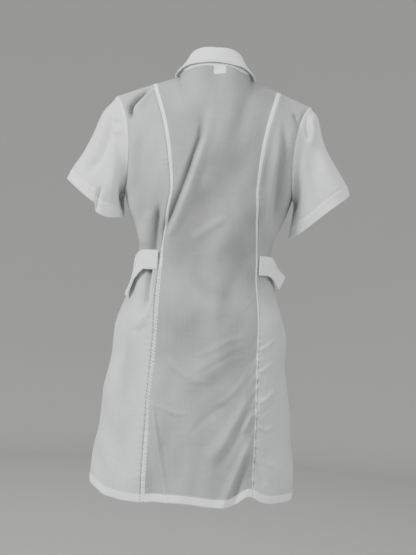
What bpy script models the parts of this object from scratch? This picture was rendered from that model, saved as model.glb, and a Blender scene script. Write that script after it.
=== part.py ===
"""A women's short-sleeved lab coat, as it hangs on a wearer: princess seams, notched collar, half belts at the waist.

Metres, +Z up, the front faces -Y. The origin is level with the two points where the shoulder seams meet the
neck seam, midway between them. Cloth is cut as panels that meet at their seams. Each panel is mapped from a
flat grid onto the coat's surface and thickened outwards.
"""

from math import atan2, cos, pi, radians, sin

import bmesh
import bpy
from mathutils import Matrix, Vector

# ---- Cloth and gaps ----------------------------------------------------------------------------------
CLOTH = 0.0012           # a panel and its pressed seam allowance
SEAM_GAP = 0.0004        # between two panels along a seam
LAYER_GAP = 0.0006       # between two layers of cloth that lie on each other
SWING_GAP = 0.0018       # between the two fronts where they overlap
ARMHOLE_GAP = 0.0022     # between a sleeve and the body's armhole edge

# ---- Heights, from the neck points ---------------------------------------------------------------------
HEM_Z = -0.925
HIP_Z = -0.575
WAIST_Z = -0.405
UNDERARM_Z = -0.260
BREAK_Z = -0.190         # where the lapels fold open, just above the top button
BLADE_Z = -0.175         # shoulder blades
TIP_Z = -0.051           # shoulder tips
BACK_NECK_Z = 0.031      # centre back neck seam

# ---- Half widths (X) -------------------------------------------------------------------------------------
HEM_HALF = 0.228
HIP_HALF = 0.189
WAIST_HALF = 0.150
CHEST_HALF = 0.189
TIP_HALF = 0.217
NECK_HALF = 0.080

# ---- Depths (Y), from the side seams backwards and forwards ------------------------------------------------
HEM_BACK = 0.160
HIP_BACK = 0.140
WAIST_BACK = 0.104
CHEST_BACK = 0.124
BLADE_BACK = 0.129
NECK_BACK = 0.062
HEM_FRONT = 0.168
HIP_FRONT = 0.150
WAIST_FRONT = 0.128
BUST_FRONT = 0.147
SQUARENESS = 2.25        # 2 makes the body's section an ellipse, more makes it squarer

# ---- Seam lines: distance from the centre line at the hem, hip, waist and underarm ------------------------
BACK_PRINCESS = (0.120, 0.112, 0.104, 0.098)
FRONT_PRINCESS = (0.122, 0.108, 0.095, 0.102)
SHOULDER_PRINCESS = 0.138    # where both princess seams meet the shoulder seam
OVERLAP = 0.018              # how far each front runs past the centre line
BAND_DEPTH = CLOTH + SWING_GAP

# ---- Armholes and sleeves -----------------------------------------------------------------------------------
ARMHOLE_BACK = 0.060
ARMHOLE_FRONT = 0.052
SCOOP_BACK = 0.012
SCOOP_FRONT = 0.026
UNDERARM_GAP = 0.0035    # what the sleeve's start gains on the armhole gap, under the arm
ARMHOLE_FLARE = 0.12     # how much wider than the armhole the sleeve starts, under the arm
UNDERARM_EASE = 0.012    # how far the sleeve stands out under the arm
SLEEVE_HEM_OUTER = (0.317, -0.243)    # X and Z of the sleeve hem's outer corner
SLEEVE_HEM_INNER = (0.204, -0.342)    # and of its inner corner
SLEEVE_HEM_DEPTH = 0.056              # half the sleeve hem's size from front to back

# ---- Front opening --------------------------------------------------------------------------------------------
SWING_X = 0.097          # the upright line that each front swings about, just outside its princess seam
SWING_Y = -0.136
SWING_CLEAR = 0.0012     # from the swinging cloth's outer edge to the seam
FLAP_TOP_GAP = 0.0055    # from the lapels' fold down to the top of the swinging cloth
TUCK_FADE = 0.030        # width over which the left front dips under the right one
BUTTONS = 5
FIRST_BUTTON_Z = -0.228
BUTTON_SPACING = 0.112
BUTTON_RADIUS = 0.009
BUTTON_THICKNESS = 0.0026
BUTTON_RIM = 0.0006
BUTTON_DISH = 0.0018      # width of the raised rim
SHANK_RADIUS = 0.0009    # the thread that holds a button
THREAD_GAP = 0.0010      # from the right front to a button's back
SHANK_GAP = 0.0008       # from a shank's end to the left front
BUTTONHOLE_WIDTH = 0.0026
BUTTONHOLE_LENGTH = 0.021

# ---- Half belts, sewn into the back princess seams at the waist -------------------------------------------------
BELT_WIDTH = 0.042
BELT_Z = -0.414
BELT_CLOTH = 0.0016      # two layers
BELT_LENGTH_LEFT = 0.118
BELT_LENGTH_RIGHT = 0.092
BELT_START = 0.003       # from the princess seam to the belt's sewn end
BELT_STAND = 0.0040      # from the panel to the belt
BELT_OUT = 9.0           # degrees that a belt stands away from the panel
BELT_TURN = 12.0         # degrees that it bends round the body along its length
BELT_DROOP_LEFT = 0.044
BELT_DROOP_RIGHT = 0.018

# ---- Pockets ------------------------------------------------------------------------------------------------------
POCKET_TOP_Z = -0.455
POCKET_HEIGHT = 0.175
POCKET_BULGE = 0.013     # how far the mouth gapes
POCKET_GAP = 0.0012      # from the coat to the pocket's stitched edges
BREAST_LOW, BREAST_HIGH = 0.29, 0.63      # share of the way from the underarm level to the shoulder
BREAST_IN, BREAST_OUT = 0.37, 0.74        # share of the way from the front edge to the armhole
BREAST_BULGE = 0.010

# ---- Collar and label ----------------------------------------------------------------------------------------------
COLLAR_CLOTH = 0.0008
INTERLINING_CLOTH = 0.0003
COLLAR_LAYER_GAP = 0.0009
COLLAR_ROLL = 0.0014     # radius inside the collar's fold
COLLAR_LIFT = 0.0020     # from the neck seam to the collar's lower edges
STAND_UP = 0.034         # height of the collar's stand
STAND_IN = 0.017         # how far it leans towards the neck
FALL_PAST = 0.0090       # how far the fall reaches past the neck seam at the back
FALL_DROP = 0.004
END_STAND = 0.006        # height of the stand that is left at the collar's ends
NECK_TURN = 0.55         # share of each half of the collar that runs round the back of the neck
COLLAR_END = 0.36        # the collar's front ends, as a share of the way down the lapel line from the neck
COLLAR_WIDE = 0.34       # width of the collar's front ends, as a share of the chest's
LAPEL_WIDE = 0.37        # width of the lapels at the notch
LAPEL_LOW_X = 0.005      # the lapels start where their fold is this far from the centre line
NOTCH = 0.012            # the gap between collar and lapel at the outer edge
TAPE_WIDTH = 0.012
TAPE_GAP = 0.0028        # from the back panel to the neck tape
LABEL_WIDTH = 0.025
LABEL_HEIGHT = 0.021
LABEL_CLOTH = 0.0006

# ---- How finely the grids are cut ---------------------------------------------------------------------------------
LOWER_ROWS = 10
UPPER_ROWS = 9
WHITE = (0.80, 0.81, 0.83, 1)
PEARL = (0.86, 0.86, 0.84, 1)


# ======================================================================================================
# Curves
# ======================================================================================================
def curve(points, at):
    """The smooth curve through (position, value) points that never overshoots them."""
    xs = [p[0] for p in points]
    ys = [p[1] for p in points]
    last = len(xs) - 1
    at = min(max(at, xs[0]), xs[-1])
    slope = [(ys[i + 1] - ys[i]) / (xs[i + 1] - xs[i]) for i in range(last)]
    tangent = [slope[0]]
    for i in range(1, last):
        a, b = slope[i - 1], slope[i]
        tangent.append(2 * a * b / (a + b) if a * b > 0 else 0.0)
    tangent.append(slope[-1])
    i = min(max(k for k in range(len(xs)) if xs[k] <= at), last - 1)
    width = xs[i + 1] - xs[i]
    t = (at - xs[i]) / width
    return (
        ys[i] * (1 + 2 * t) * (1 - t) ** 2
        + tangent[i] * width * t * (1 - t) ** 2
        + ys[i + 1] * t * t * (3 - 2 * t)
        + tangent[i + 1] * width * t * t * (t - 1)
    )


def mix(a, b, t):
    return a + (b - a) * t


def smooth_step(t):
    t = min(max(t, 0.0), 1.0)
    return t * t * (3 - 2 * t)


def levels(*values):
    """(height, value) points at the hem, hip, waist and underarm."""
    return list(zip((HEM_Z, HIP_Z, WAIST_Z, UNDERARM_Z), values))


HALF_WIDTH = levels(HEM_HALF, HIP_HALF, WAIST_HALF, CHEST_HALF)
BACK_DEPTH = levels(HEM_BACK, HIP_BACK, WAIST_BACK, CHEST_BACK)
FRONT_DEPTH = levels(HEM_FRONT, HIP_FRONT, WAIST_FRONT, BUST_FRONT)
BACK_SEAM = levels(*BACK_PRINCESS)
FRONT_SEAM = levels(*FRONT_PRINCESS)
CENTRE_BACK = [
    (UNDERARM_Z, CHEST_BACK),
    (BLADE_Z, BLADE_BACK),
    (mix(BLADE_Z, BACK_NECK_Z, 0.5), mix(BLADE_BACK, NECK_BACK, 0.22)),
    (mix(BLADE_Z, BACK_NECK_Z, 0.8), mix(BLADE_BACK, NECK_BACK, 0.62)),
    (BACK_NECK_Z, NECK_BACK),
]
FRONT_EDGE = [
    (UNDERARM_Z, BUST_FRONT),
    (BREAK_Z, 0.975 * BUST_FRONT),
    (0.76 * BREAK_Z, 0.88 * BUST_FRONT),
    (0.47 * BREAK_Z, 0.66 * BUST_FRONT),
    (0.21 * BREAK_Z, 0.36 * BUST_FRONT),
    (0.0, 0.0),
]


# ======================================================================================================
# The coat's surface, on the wearer's left (X > 0). Right-hand pieces mirror it.
# ======================================================================================================
def ring(angle, z, depths, sign):
    """A point of the body's section at height z. angle is 0 at the centre line and pi/2 at the side seam."""
    s, c = sin(angle), cos(angle)
    reach = (abs(s) ** SQUARENESS + abs(c) ** SQUARENESS) ** (-1 / SQUARENESS)
    return Vector((curve(HALF_WIDTH, z) * reach * s, sign * curve(depths, z) * reach * c, z))


def ring_angle(x, z):
    """The ring's angle at distance x from the centre line."""
    low, high = 0.0, pi / 2
    for _ in range(40):
        middle = (low + high) / 2
        if ring(middle, z, BACK_DEPTH, 1).x < abs(x):
            low = middle
        else:
            high = middle
    return low if x >= 0 else -low


def armhole(t, sign):
    """The armhole from the underarm (t = 0) to the shoulder tip (t = 1). sign is 1 at the back, -1 in front."""
    turn = pi * t
    depth, scoop = (ARMHOLE_BACK, SCOOP_BACK) if sign > 0 else (ARMHOLE_FRONT, SCOOP_FRONT)
    outwards = ((1 - cos(turn)) / 2) ** 3
    return Vector((
        mix(CHEST_HALF, TIP_HALF, outwards) - scoop * sin(turn),
        sign * depth * sin(turn),
        mix(UNDERARM_Z, TIP_Z, (1 - cos(turn)) / 2),
    ))


def shoulder(t):
    """The shoulder seam from the neck point (t = 0) to the tip (t = 1)."""
    return Vector((mix(NECK_HALF, TIP_HALF, t), 0.0, TIP_Z * t ** 1.1))


BREAK_UP = (BREAK_Z - UNDERARM_Z) / -UNDERARM_Z
SHOULDER_SHARE = (SHOULDER_PRINCESS - NECK_HALF) / (TIP_HALF - NECK_HALF)
BACK_SHARE = ring_angle(BACK_PRINCESS[-1], UNDERARM_Z) / (pi / 2)


def coons(bottom, top, inner, outer, across, up):
    """The surface that spans four boundary curves."""
    corners = mix(mix(bottom(0), bottom(1), across), mix(top(0), top(1), across), up)
    return mix(bottom(across), top(across), up) + mix(inner(up), outer(up), across) - corners


def back_neckline(t):
    """The back neck seam from the centre back (t = 0) to the neck point (t = 1)."""
    turn = t * pi / 2
    return Vector((NECK_HALF * sin(turn), NECK_BACK * cos(turn), BACK_NECK_Z * cos(turn)))


def past_princess(across, share):
    return shoulder(mix(SHOULDER_SHARE, 1.0, (across - share) / (1 - share)))


def back_top(across):
    """The back's upper edge as a plain line, without the corner that the neck seam makes."""
    if across > BACK_SHARE:
        return past_princess(across, BACK_SHARE)
    return mix(back_neckline(0), shoulder(SHOULDER_SHARE), across / BACK_SHARE)


def neck_corner(across):
    """What the neck seam adds to that plain line."""
    half = BACK_SHARE / 2
    if across > BACK_SHARE:
        return Vector((0, 0, 0))
    if across > half:
        return shoulder(SHOULDER_SHARE * (across - half) / half) - back_top(across)
    return back_neckline(across / half) - back_top(across)


def back_upper(across, up):
    def centre(t):
        z = mix(UNDERARM_Z, BACK_NECK_Z, t)
        return Vector((0, curve(CENTRE_BACK, z), z))

    flat = coons(
        lambda a: ring(a * pi / 2, UNDERARM_Z, BACK_DEPTH, 1), back_top, centre,
        lambda t: armhole(t, 1), across, up,
    )
    return flat + neck_corner(across) * up ** 4


def edge_angle(z):
    return ring_angle(-OVERLAP, z)


def front_edge(t):
    """The front's inner edge: straight up past the centre line to the lapels' fold, then out to the neck point."""
    z = mix(UNDERARM_Z, 0.0, t)
    opened = max(0.0, (z - BREAK_Z) / -BREAK_Z)
    return Vector((mix(-OVERLAP, NECK_HALF, opened ** 0.92), -curve(FRONT_EDGE, z), z))


def front_share(z):
    """Where the front princess seam lies, as a share of the way from the front edge to the side seam."""
    inner = edge_angle(z)
    return (ring_angle(curve(FRONT_SEAM, z), z) - inner) / (pi / 2 - inner)


CHEST_SHARE = front_share(UNDERARM_Z)


def front_upper(across, up):
    inner = edge_angle(UNDERARM_Z)

    def top(a):
        if a > CHEST_SHARE:
            return past_princess(a, CHEST_SHARE)
        return shoulder(SHOULDER_SHARE * a / CHEST_SHARE)

    return coons(
        lambda a: ring(mix(inner, pi / 2, a), UNDERARM_Z, FRONT_DEPTH, -1), top, front_edge,
        lambda t: armhole(t, -1), across, up,
    )


def back(across, height):
    """across: 0 at the centre back, 1 at the side. height: 0 at the hem, 1 at the underarm, 2 at the shoulder."""
    if height <= 1:
        return ring(across * pi / 2, mix(HEM_Z, UNDERARM_Z, height), BACK_DEPTH, 1)
    return back_upper(across, height - 1)


def front(across, height):
    """across: 0 at the front edge, 1 at the side. height: as for the back."""
    if height > 1:
        return front_upper(across, height - 1)
    z = mix(HEM_Z, UNDERARM_Z, height)
    return ring(mix(edge_angle(z), pi / 2, across), z, FRONT_DEPTH, -1)


def height_of(z):
    """The height parameter of a level below the underarm."""
    return (z - HEM_Z) / (UNDERARM_Z - HEM_Z)


def back_princess(height):
    if height >= 1:
        return BACK_SHARE
    z = mix(HEM_Z, UNDERARM_Z, height)
    return ring_angle(curve(BACK_SEAM, z), z) / (pi / 2)


def front_princess(height):
    return front_share(mix(HEM_Z, UNDERARM_Z, min(height, 1.0)))


def outward(surface, across, height, sign):
    """A unit normal of a surface, pointing out of the coat. sign is 1 at the back, -1 in front."""
    step = 1e-3
    low, high = max(across - step, 0), min(across + step, 1)
    below, above = max(height - step, 0), min(height + step, 2)
    sideways = surface(high, height) - surface(low, height)
    upwards = surface(across, above) - surface(across, below)
    return (sign * upwards.cross(sideways)).normalized()


# ======================================================================================================
# Building
# ======================================================================================================
def material(name, colour, roughness):
    made = bpy.data.materials.new(name)
    made.use_nodes = True
    shader = made.node_tree.nodes["Principled BSDF"]
    shader.inputs["Base Color"].default_value = colour
    shader.inputs["Roughness"].default_value = roughness
    shader.inputs["Metallic"].default_value = 0.0
    return made


def show(name, bm, finish):
    """Turn a bmesh into an object of the scene."""
    mesh = bpy.data.meshes.new(name)
    bm.to_mesh(mesh)
    bm.free()
    mesh.shade_smooth()
    mesh.materials.append(finish)
    piece = bpy.data.objects.new(name, mesh)
    bpy.context.scene.collection.objects.link(piece)
    return piece


def sheet(name, surface, columns, rows, finish, cloth=CLOTH, closed=False):
    """A piece of cloth: a flat grid laid onto surface(across, up), both 0 to 1, and thickened outwards.

    A closed sheet's last column is sewn to its first. finish makes the piece's own material.
    """
    bm = bmesh.new()
    bmesh.ops.create_grid(bm, x_segments=columns, y_segments=rows, size=0.5)
    for vertex in bm.verts:
        vertex.co = surface(vertex.co.x + 0.5, vertex.co.y + 0.5)
    if closed:
        bmesh.ops.remove_doubles(bm, verts=bm.verts, dist=1e-5)
    piece = show(name, bm, finish(name))
    thick = piece.modifiers.new("Thickness", "SOLIDIFY")
    thick.thickness = cloth
    thick.offset = 1
    return piece


def mirrored(surface):
    """The same surface on the wearer's right. It runs the other way round, so it still faces out."""
    def right(across, up):
        p = surface(1 - across, up)
        return Vector((-p.x, p.y, p.z))
    return right


def reversed_way(surface):
    return lambda across, up: surface(1 - across, up)


def heights_between(low, high, rows):
    """Heights from low to high that include the underarm's, where the surface changes rule."""
    if low >= 1 or high <= 1:
        return [mix(low, high, i / rows) for i in range(rows + 1)]
    lower = round(rows * LOWER_ROWS / (LOWER_ROWS + UPPER_ROWS))
    if high < 1.5:
        lower = LOWER_ROWS
    first = [mix(low, 1, i / lower) for i in range(lower)]
    upper = rows - lower
    return first + [mix(1, high, 1 - (1 - i / upper) ** 1.5) for i in range(upper + 1)]


def between(surface, inner, outer, low, high, rows, shift=None, clear=0.0):
    """A panel between two seam lines of a surface, half a seam's gap short of both, and clear of the outer one."""
    heights = heights_between(low, high, rows)

    def place(across, up):
        height = heights[round(up * rows)]
        a, b = inner(height), outer(height)
        width = (surface(b, height) - surface(a, height)).length
        trim = SEAM_GAP / 2 / max(width, SEAM_GAP)
        far = 1 - trim - clear / max(width, SEAM_GAP)
        point = surface(mix(a, b, mix(trim, far, across)), height)
        return point + shift(point) if shift else point

    return place


def raised(surface, across, height, sign, by):
    """A point that stands off a surface."""
    return surface(across, height) + outward(surface, across, height, sign) * by


def tuck(point):
    """The left front lies under the right one, so near the centre line it runs deeper."""
    near = smooth_step((OVERLAP + TUCK_FADE - point.x) / TUCK_FADE)
    return Vector((0, (CLOTH + SWING_GAP) * near, 0))


def hang_from(pieces, name, place):
    """Parent pieces to an empty on their joint's axis, without moving them."""
    axis = bpy.data.objects.new(name, None)
    axis.location = place
    axis.empty_display_size = 0.02
    bpy.context.scene.collection.objects.link(axis)
    for piece in pieces:
        piece.parent = axis
        piece.location = -Vector(place)


# ======================================================================================================
# Body
# ======================================================================================================
ROWS = LOWER_ROWS + UPPER_ROWS
FLAP_ROWS = LOWER_ROWS + 2
TOP = 2 - 2 * SEAM_GAP / (BACK_NECK_Z - UNDERARM_Z)
FLAP_TOP = 1 + BREAK_UP - FLAP_TOP_GAP / -UNDERARM_Z


def side_seam(height):
    return 1.0


def front_line(height):
    return 0.0


def band_line(height):
    """Where the doubled band along a front's edge ends."""
    if height > 1:
        return CHEST_SHARE * 2 * OVERLAP / (OVERLAP + FRONT_PRINCESS[-1])
    z = mix(HEM_Z, UNDERARM_Z, height)
    inner = edge_angle(z)
    return (ring_angle(OVERLAP, z) - inner) / (pi / 2 - inner)


def make_back(finish):
    heights = heights_between(0, TOP, ROWS)

    def centre(across, up):
        height = heights[round(up * ROWS)]
        seam = back_princess(height)
        trim = SEAM_GAP / 2 / back(seam, height).x
        point = back(seam * abs(2 * across - 1) * (1 - trim), height)
        return Vector((point.x if across < 0.5 else -point.x, point.y, point.z))

    sheet("back_center_panel", centre, 16, ROWS, finish)
    side = between(back, back_princess, side_seam, 0, TOP, ROWS)
    sheet("back_side_panel_left", reversed_way(side), 5, ROWS, finish)
    sheet("back_side_panel_right", mirrored(reversed_way(side)), 5, ROWS, finish)


def make_fronts(finish):
    """The fixed and the swinging pieces of both fronts. Returns the swinging ones, left and right."""
    side = between(front, front_princess, side_seam, 0, TOP, ROWS)
    sheet("front_side_panel_left", side, 5, ROWS, finish)
    sheet("front_side_panel_right", mirrored(side), 5, ROWS, finish)
    rows = FLAP_ROWS
    swinging = []
    for name, shift in (("left", tuck), ("right", None)):
        chest = between(front, front_line, front_princess, 1 + BREAK_UP, TOP, UPPER_ROWS, shift)
        panel = between(front, band_line, front_princess, 0, FLAP_TOP, rows, shift, SWING_CLEAR)
        band = between(front, front_line, band_line, 0, FLAP_TOP, rows, shift)
        if name == "right":
            chest, panel, band = mirrored(chest), mirrored(panel), mirrored(band)
        sheet("front_chest_" + name, chest, 6, UPPER_ROWS, finish)
        swinging.append([
            sheet("front_panel_" + name, panel, 4, rows, finish),
            sheet("front_band_" + name, band, 3, rows, finish),
        ])
    return swinging


def make_sleeve(name, finish, side):
    """side is 1 for the wearer's left and -1 for their right."""
    top, low = armhole(1, 1), armhole(0, 1)
    outer = Vector((SLEEVE_HEM_OUTER[0], 0, SLEEVE_HEM_OUTER[1]))
    inner = Vector((SLEEVE_HEM_INNER[0], 0, SLEEVE_HEM_INNER[1]))
    over_x = [(0.0, top.x), (0.20, 0.247), (0.58, 0.284), (1.0, outer.x)]
    over_z = [(0.0, top.z), (0.20, -0.084), (0.58, -0.160), (1.0, outer.z)]

    def place(across, up):
        turn = across * 2 * pi
        rise = (1 - cos(turn)) / 2
        around = 1 - abs(2 * across - 1)
        start = armhole(around, 1 if across > 0.5 else -1)
        start.x += ARMHOLE_GAP + UNDERARM_GAP * (1 - rise)
        start.y *= 1 + ARMHOLE_FLARE * (1 - rise)
        end = mix(inner, outer, rise) - Vector((0, SLEEVE_HEM_DEPTH * sin(turn), 0))
        along = 1 - up
        straight = mix(top, outer, along)
        bulge = Vector((curve(over_x, along) - straight.x, 0, curve(over_z, along) - straight.z))
        point = mix(start, end, along) + bulge * rise ** 2
        gusset = UNDERARM_EASE * (1 - rise) ** 2 * sin(pi * along ** 0.5)
        return Vector(((point.x + gusset) * side, point.y, point.z))

    way = place if side > 0 else reversed_way(place)
    piece = sheet(name, way, 24, 8, finish, closed=True)
    hang_from([piece], name + "_axis", (side * (TIP_HALF + ARMHOLE_GAP), 0, TIP_Z + 2 * CLOTH))


def make_belt(name, finish, side, length, droop):
    """A half belt: sewn in at the princess seam, its other end loose."""
    z = BELT_Z
    height = height_of(z)
    share = back_princess(height)
    seam = raised(back, share, height, 1, CLOTH + BELT_STAND)
    step = back(share + 0.02, height) - back(share, height)
    heading = atan2(step.y, step.x) + radians(BELT_OUT)

    def place(across, up):
        run = BELT_START + length * across
        turn = radians(BELT_TURN) * across
        middle = heading - turn / 2
        lower = droop * smooth_step(across)
        return Vector((
            side * (seam.x + run * cos(middle)),
            seam.y + run * sin(middle),
            z + BELT_WIDTH * (up - 0.5) - lower,
        ))

    way = reversed_way(place) if side > 0 else place
    piece = sheet(name, way, 8, 2, finish, cloth=BELT_CLOTH)
    hang_from([piece], name + "_axis", (side * seam.x, seam.y, z))


# ======================================================================================================
# Collar, lapels and neck
# ======================================================================================================
def collar_front(along):
    """How far along the collar's front part a place is: 0 at the neck point, 1 at its end."""
    return max(0.0, (along - NECK_TURN) / (1 - NECK_TURN))


def front_up(along):
    """The same place as a share of the way up the front's edge."""
    return 1 - COLLAR_END * (1 - BREAK_UP) * collar_front(along)


def collar_section(along):
    """The collar's section: its lower edge, the top of its stand, the top and the edge of its fall."""
    forward = collar_front(along)
    bend = min(along / NECK_TURN, 1.0) * pi / 2
    away = Vector((sin(bend), cos(bend), 0))
    height = 1 + front_up(along)
    across_chest = (front(0.06, height) - front(0.0, height)).normalized()
    facing = outward(front, 0.02, height, -1)
    away = mix(away, across_chest, smooth_step(forward * 1.5)).normalized()
    seam = back_neckline(along / NECK_TURN) if forward == 0 else front_edge(front_up(along))
    stand = Vector((0, 0, STAND_UP)) - away * STAND_IN
    stand = mix(stand, facing * END_STAND, smooth_step(forward))
    low = seam + mix(Vector((0, 0, COLLAR_LIFT)), facing * (COLLAR_LIFT + CLOTH), smooth_step(forward * 3))
    high = low + stand
    edge = seam + away * FALL_PAST - Vector((0, 0, FALL_DROP * cos(bend)))
    return low, high, high + away * 2 * COLLAR_ROLL, edge, away


def collar_half(along, round_it):
    """A place on the collar. round_it: 0 to 0.3 up the stand, to 0.6 over the fold, to 1 down the fall."""
    low, high, start, edge, away = collar_section(along)
    if round_it < 0.3:
        return mix(low, high, round_it / 0.3)
    if round_it < 0.6:
        turn = pi * (round_it - 0.3) / 0.3
        up = (high - low).normalized()
        return (high + start) / 2 - away * COLLAR_ROLL * cos(turn) + up * COLLAR_ROLL * sin(turn)
    down = (round_it - 0.6) / 0.4
    hanging = mix(start, edge, down) + away * 0.003 * sin(pi * down)
    forward = collar_front(along)
    if forward == 0:
        return hanging
    height = 1 + front_up(along)
    stand_off = CLOTH + mix(2 * LAYER_GAP, COLLAR_LIFT + END_STAND, (1 - down) ** 1.6)
    wide = mix(0.055, COLLAR_WIDE, forward)
    lying = raised(front, wide * down + 0.018, min(height + 0.03 * down * forward, 2.0), -1, stand_off)
    return mix(hanging, lying, smooth_step(forward * 1.25))


def collar(across, round_it):
    """The whole collar, from its right end (0) past the centre back to its left end (1)."""
    where = 2 * across - 1
    point = collar_half(abs(where), round_it)
    return Vector((point.x if where > 0 else -point.x, point.y, point.z))


def collar_layer(depth):
    """A layer of the collar, depth outside its innermost face."""
    def place(across, round_it):
        step = 2e-3
        along = collar(min(across + step, 1), round_it) - collar(max(across - step, 0), round_it)
        around = collar(across, min(round_it + step, 1)) - collar(across, max(round_it - step, 0))
        return collar(across, round_it) + along.cross(around).normalized() * depth
    return place


def make_collar(finish):
    inner_face = 0.0
    for name, cloth in (
        ("under_collar", COLLAR_CLOTH),
        ("collar_interlining", INTERLINING_CLOTH),
        ("upper_collar", COLLAR_CLOTH),
    ):
        sheet(name, collar_layer(inner_face), 26, 10, finish, cloth=cloth)
        inner_face += cloth + COLLAR_LAYER_GAP


def make_lapels(finish):
    high = 1 - COLLAR_END * (1 - BREAK_UP) - 0.002 / -UNDERARM_Z
    low = BREAK_UP
    while front_edge(low).x < LAPEL_LOW_X:
        low += 0.002

    def place(across, up):
        height = 1 + mix(low, high, up)
        wide = LAPEL_WIDE * up ** 0.8 + 0.015
        notch = NOTCH / -UNDERARM_Z * across * up ** 6
        share = wide * across + 0.004
        point = raised(front, share, height - notch, -1, CLOTH + LAYER_GAP)
        return point

    def left(across, up):
        point = place(across, up)
        return point + tuck(point)

    sheet("lapel_left", left, 4, 8, finish)
    sheet("lapel_right", mirrored(place), 4, 8, finish)


def make_neck_trim(finish):
    def inside(half, high, low, depth):
        def place(across, up):
            share = half * (2 * across - 1)
            height = mix(low, high, up)
            point = raised(back, abs(share), height, 1, -depth)
            return Vector((point.x if share > 0 else -point.x, point.y, point.z))
        return reversed_way(place)

    per_metre = 1 / (1.25 * (BACK_NECK_Z - UNDERARM_Z))
    top = 2 - 0.003 * per_metre
    tape_low = top - TAPE_WIDTH * per_metre
    tape = inside(0.42 * BACK_SHARE, top, tape_low, COLLAR_CLOTH + TAPE_GAP)
    sheet("neck_tape", tape, 12, 2, finish, cloth=COLLAR_CLOTH)
    label_top = top - 0.002 * per_metre
    label_low = label_top - LABEL_HEIGHT * per_metre
    middle = back(0.2 * BACK_SHARE, label_top).x
    share = 0.2 * BACK_SHARE * LABEL_WIDTH / 2 / middle
    depth = TAPE_GAP + COLLAR_CLOTH + SEAM_GAP + LABEL_CLOTH
    label = inside(share, label_top, label_low, depth)
    sheet("size_label", label, 4, 3, finish, cloth=LABEL_CLOTH)


# ======================================================================================================
# Pockets and buttons
# ======================================================================================================
def make_pockets(finish):
    def patch(left, right, low, high, bulge):
        def place(across, up):
            height = mix(low, high, up)
            open_up = sin(pi * across) ** 0.8 * up ** 1.4 if 0 < across < 1 else 0.0
            stand_off = CLOTH + POCKET_GAP + bulge * open_up
            return raised(front, mix(left(height), right(height), across), height, -1, stand_off)
        return place

    def inner(height):
        return mix(front_princess(height), 1, 0.02)

    def outer(height):
        return mix(front_princess(height), 1, 0.86)

    top = height_of(POCKET_TOP_Z)
    low = height_of(POCKET_TOP_Z - POCKET_HEIGHT)
    hip = patch(inner, outer, low, top, POCKET_BULGE)
    sheet("hip_pocket_left", hip, 8, 6, finish)
    sheet("hip_pocket_right", mirrored(hip), 8, 6, finish)
    breast = patch(lambda h: BREAST_IN, lambda h: BREAST_OUT, 1 + BREAST_LOW, 1 + BREAST_HIGH, BREAST_BULGE)
    sheet("breast_pocket", breast, 6, 5, finish)


def band_at(z):
    """The y of the front band's straight-sided facet at height z, and how fast y changes with z."""
    heights = heights_between(0, FLAP_TOP, FLAP_ROWS)
    for low, high in zip(heights, heights[1:]):
        a, b = front(0.0, low), front(0.0, high)
        if a.z <= z <= b.z:
            slope = (b.y - a.y) / (b.z - a.z)
            middle = 0.5 * (front(band_line(low), low).y + front(band_line(high), high).y - a.y - b.y)
            return a.y + (z - a.z) * slope + middle, slope
    raise ValueError("no band at that height")


def make_buttons(finish):
    """Buttons are sewn to the left front and come through slots in the right one's band."""
    made = []
    cutters = []
    for i in range(BUTTONS):
        z = FIRST_BUTTON_Z - i * BUTTON_SPACING
        skin, slope = band_at(z)
        face = skin - CLOTH - THREAD_GAP
        shank = CLOTH + THREAD_GAP + SWING_GAP - SHANK_GAP
        bm = bmesh.new()
        bmesh.ops.create_cone(
            bm, cap_ends=True, segments=24, radius1=BUTTON_RADIUS, radius2=BUTTON_RADIUS - BUTTON_RIM,
            depth=BUTTON_THICKNESS, matrix=Matrix.Rotation(radians(90), 4, "X"),
        )
        front_cap = min(bm.faces, key=lambda f: f.calc_center_median().y)
        bmesh.ops.inset_region(bm, faces=[front_cap], thickness=BUTTON_DISH, depth=-BUTTON_RIM)
        back_cap = max(bm.faces, key=lambda f: f.calc_center_median().y)
        bmesh.ops.inset_region(bm, faces=[back_cap], thickness=BUTTON_RADIUS - SHANK_RADIUS)
        grown = bmesh.ops.extrude_face_region(bm, geom=[back_cap])
        bmesh.ops.delete(bm, geom=[back_cap], context="FACES_ONLY")
        tip = [v for v in grown["geom"] if isinstance(v, bmesh.types.BMVert)]
        bmesh.ops.translate(bm, verts=tip, vec=(0, shank, 0))
        bmesh.ops.translate(bm, verts=bm.verts, vec=(0, -BUTTON_THICKNESS / 2, 0))
        lean = Matrix.Rotation(-atan2(slope, 1), 4, "X")
        bmesh.ops.rotate(bm, verts=bm.verts, matrix=lean)
        bmesh.ops.translate(bm, verts=bm.verts, vec=(0, face, z))
        bmesh.ops.recalc_face_normals(bm, faces=bm.faces)
        made.append(show("button_" + str(i + 1), bm, finish))
        slot = bmesh.new()
        bmesh.ops.create_cube(slot, size=1)
        bmesh.ops.scale(slot, verts=slot.verts, vec=(BUTTONHOLE_WIDTH, 0.012, BUTTONHOLE_LENGTH))
        bmesh.ops.translate(slot, verts=slot.verts, vec=(0, skin, z))
        cutter = show("buttonhole_cutter_" + str(i + 1), slot, finish)
        cutter.hide_render = True
        cutter.display_type = "WIRE"
        cutters.append(cutter)
    return made, cutters


def cut(piece, cutters):
    for cutter in cutters:
        hole = piece.modifiers.new(cutter.name, "BOOLEAN")
        hole.operation = "DIFFERENCE"
        hole.solver = "EXACT"
        hole.object = cutter


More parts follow.
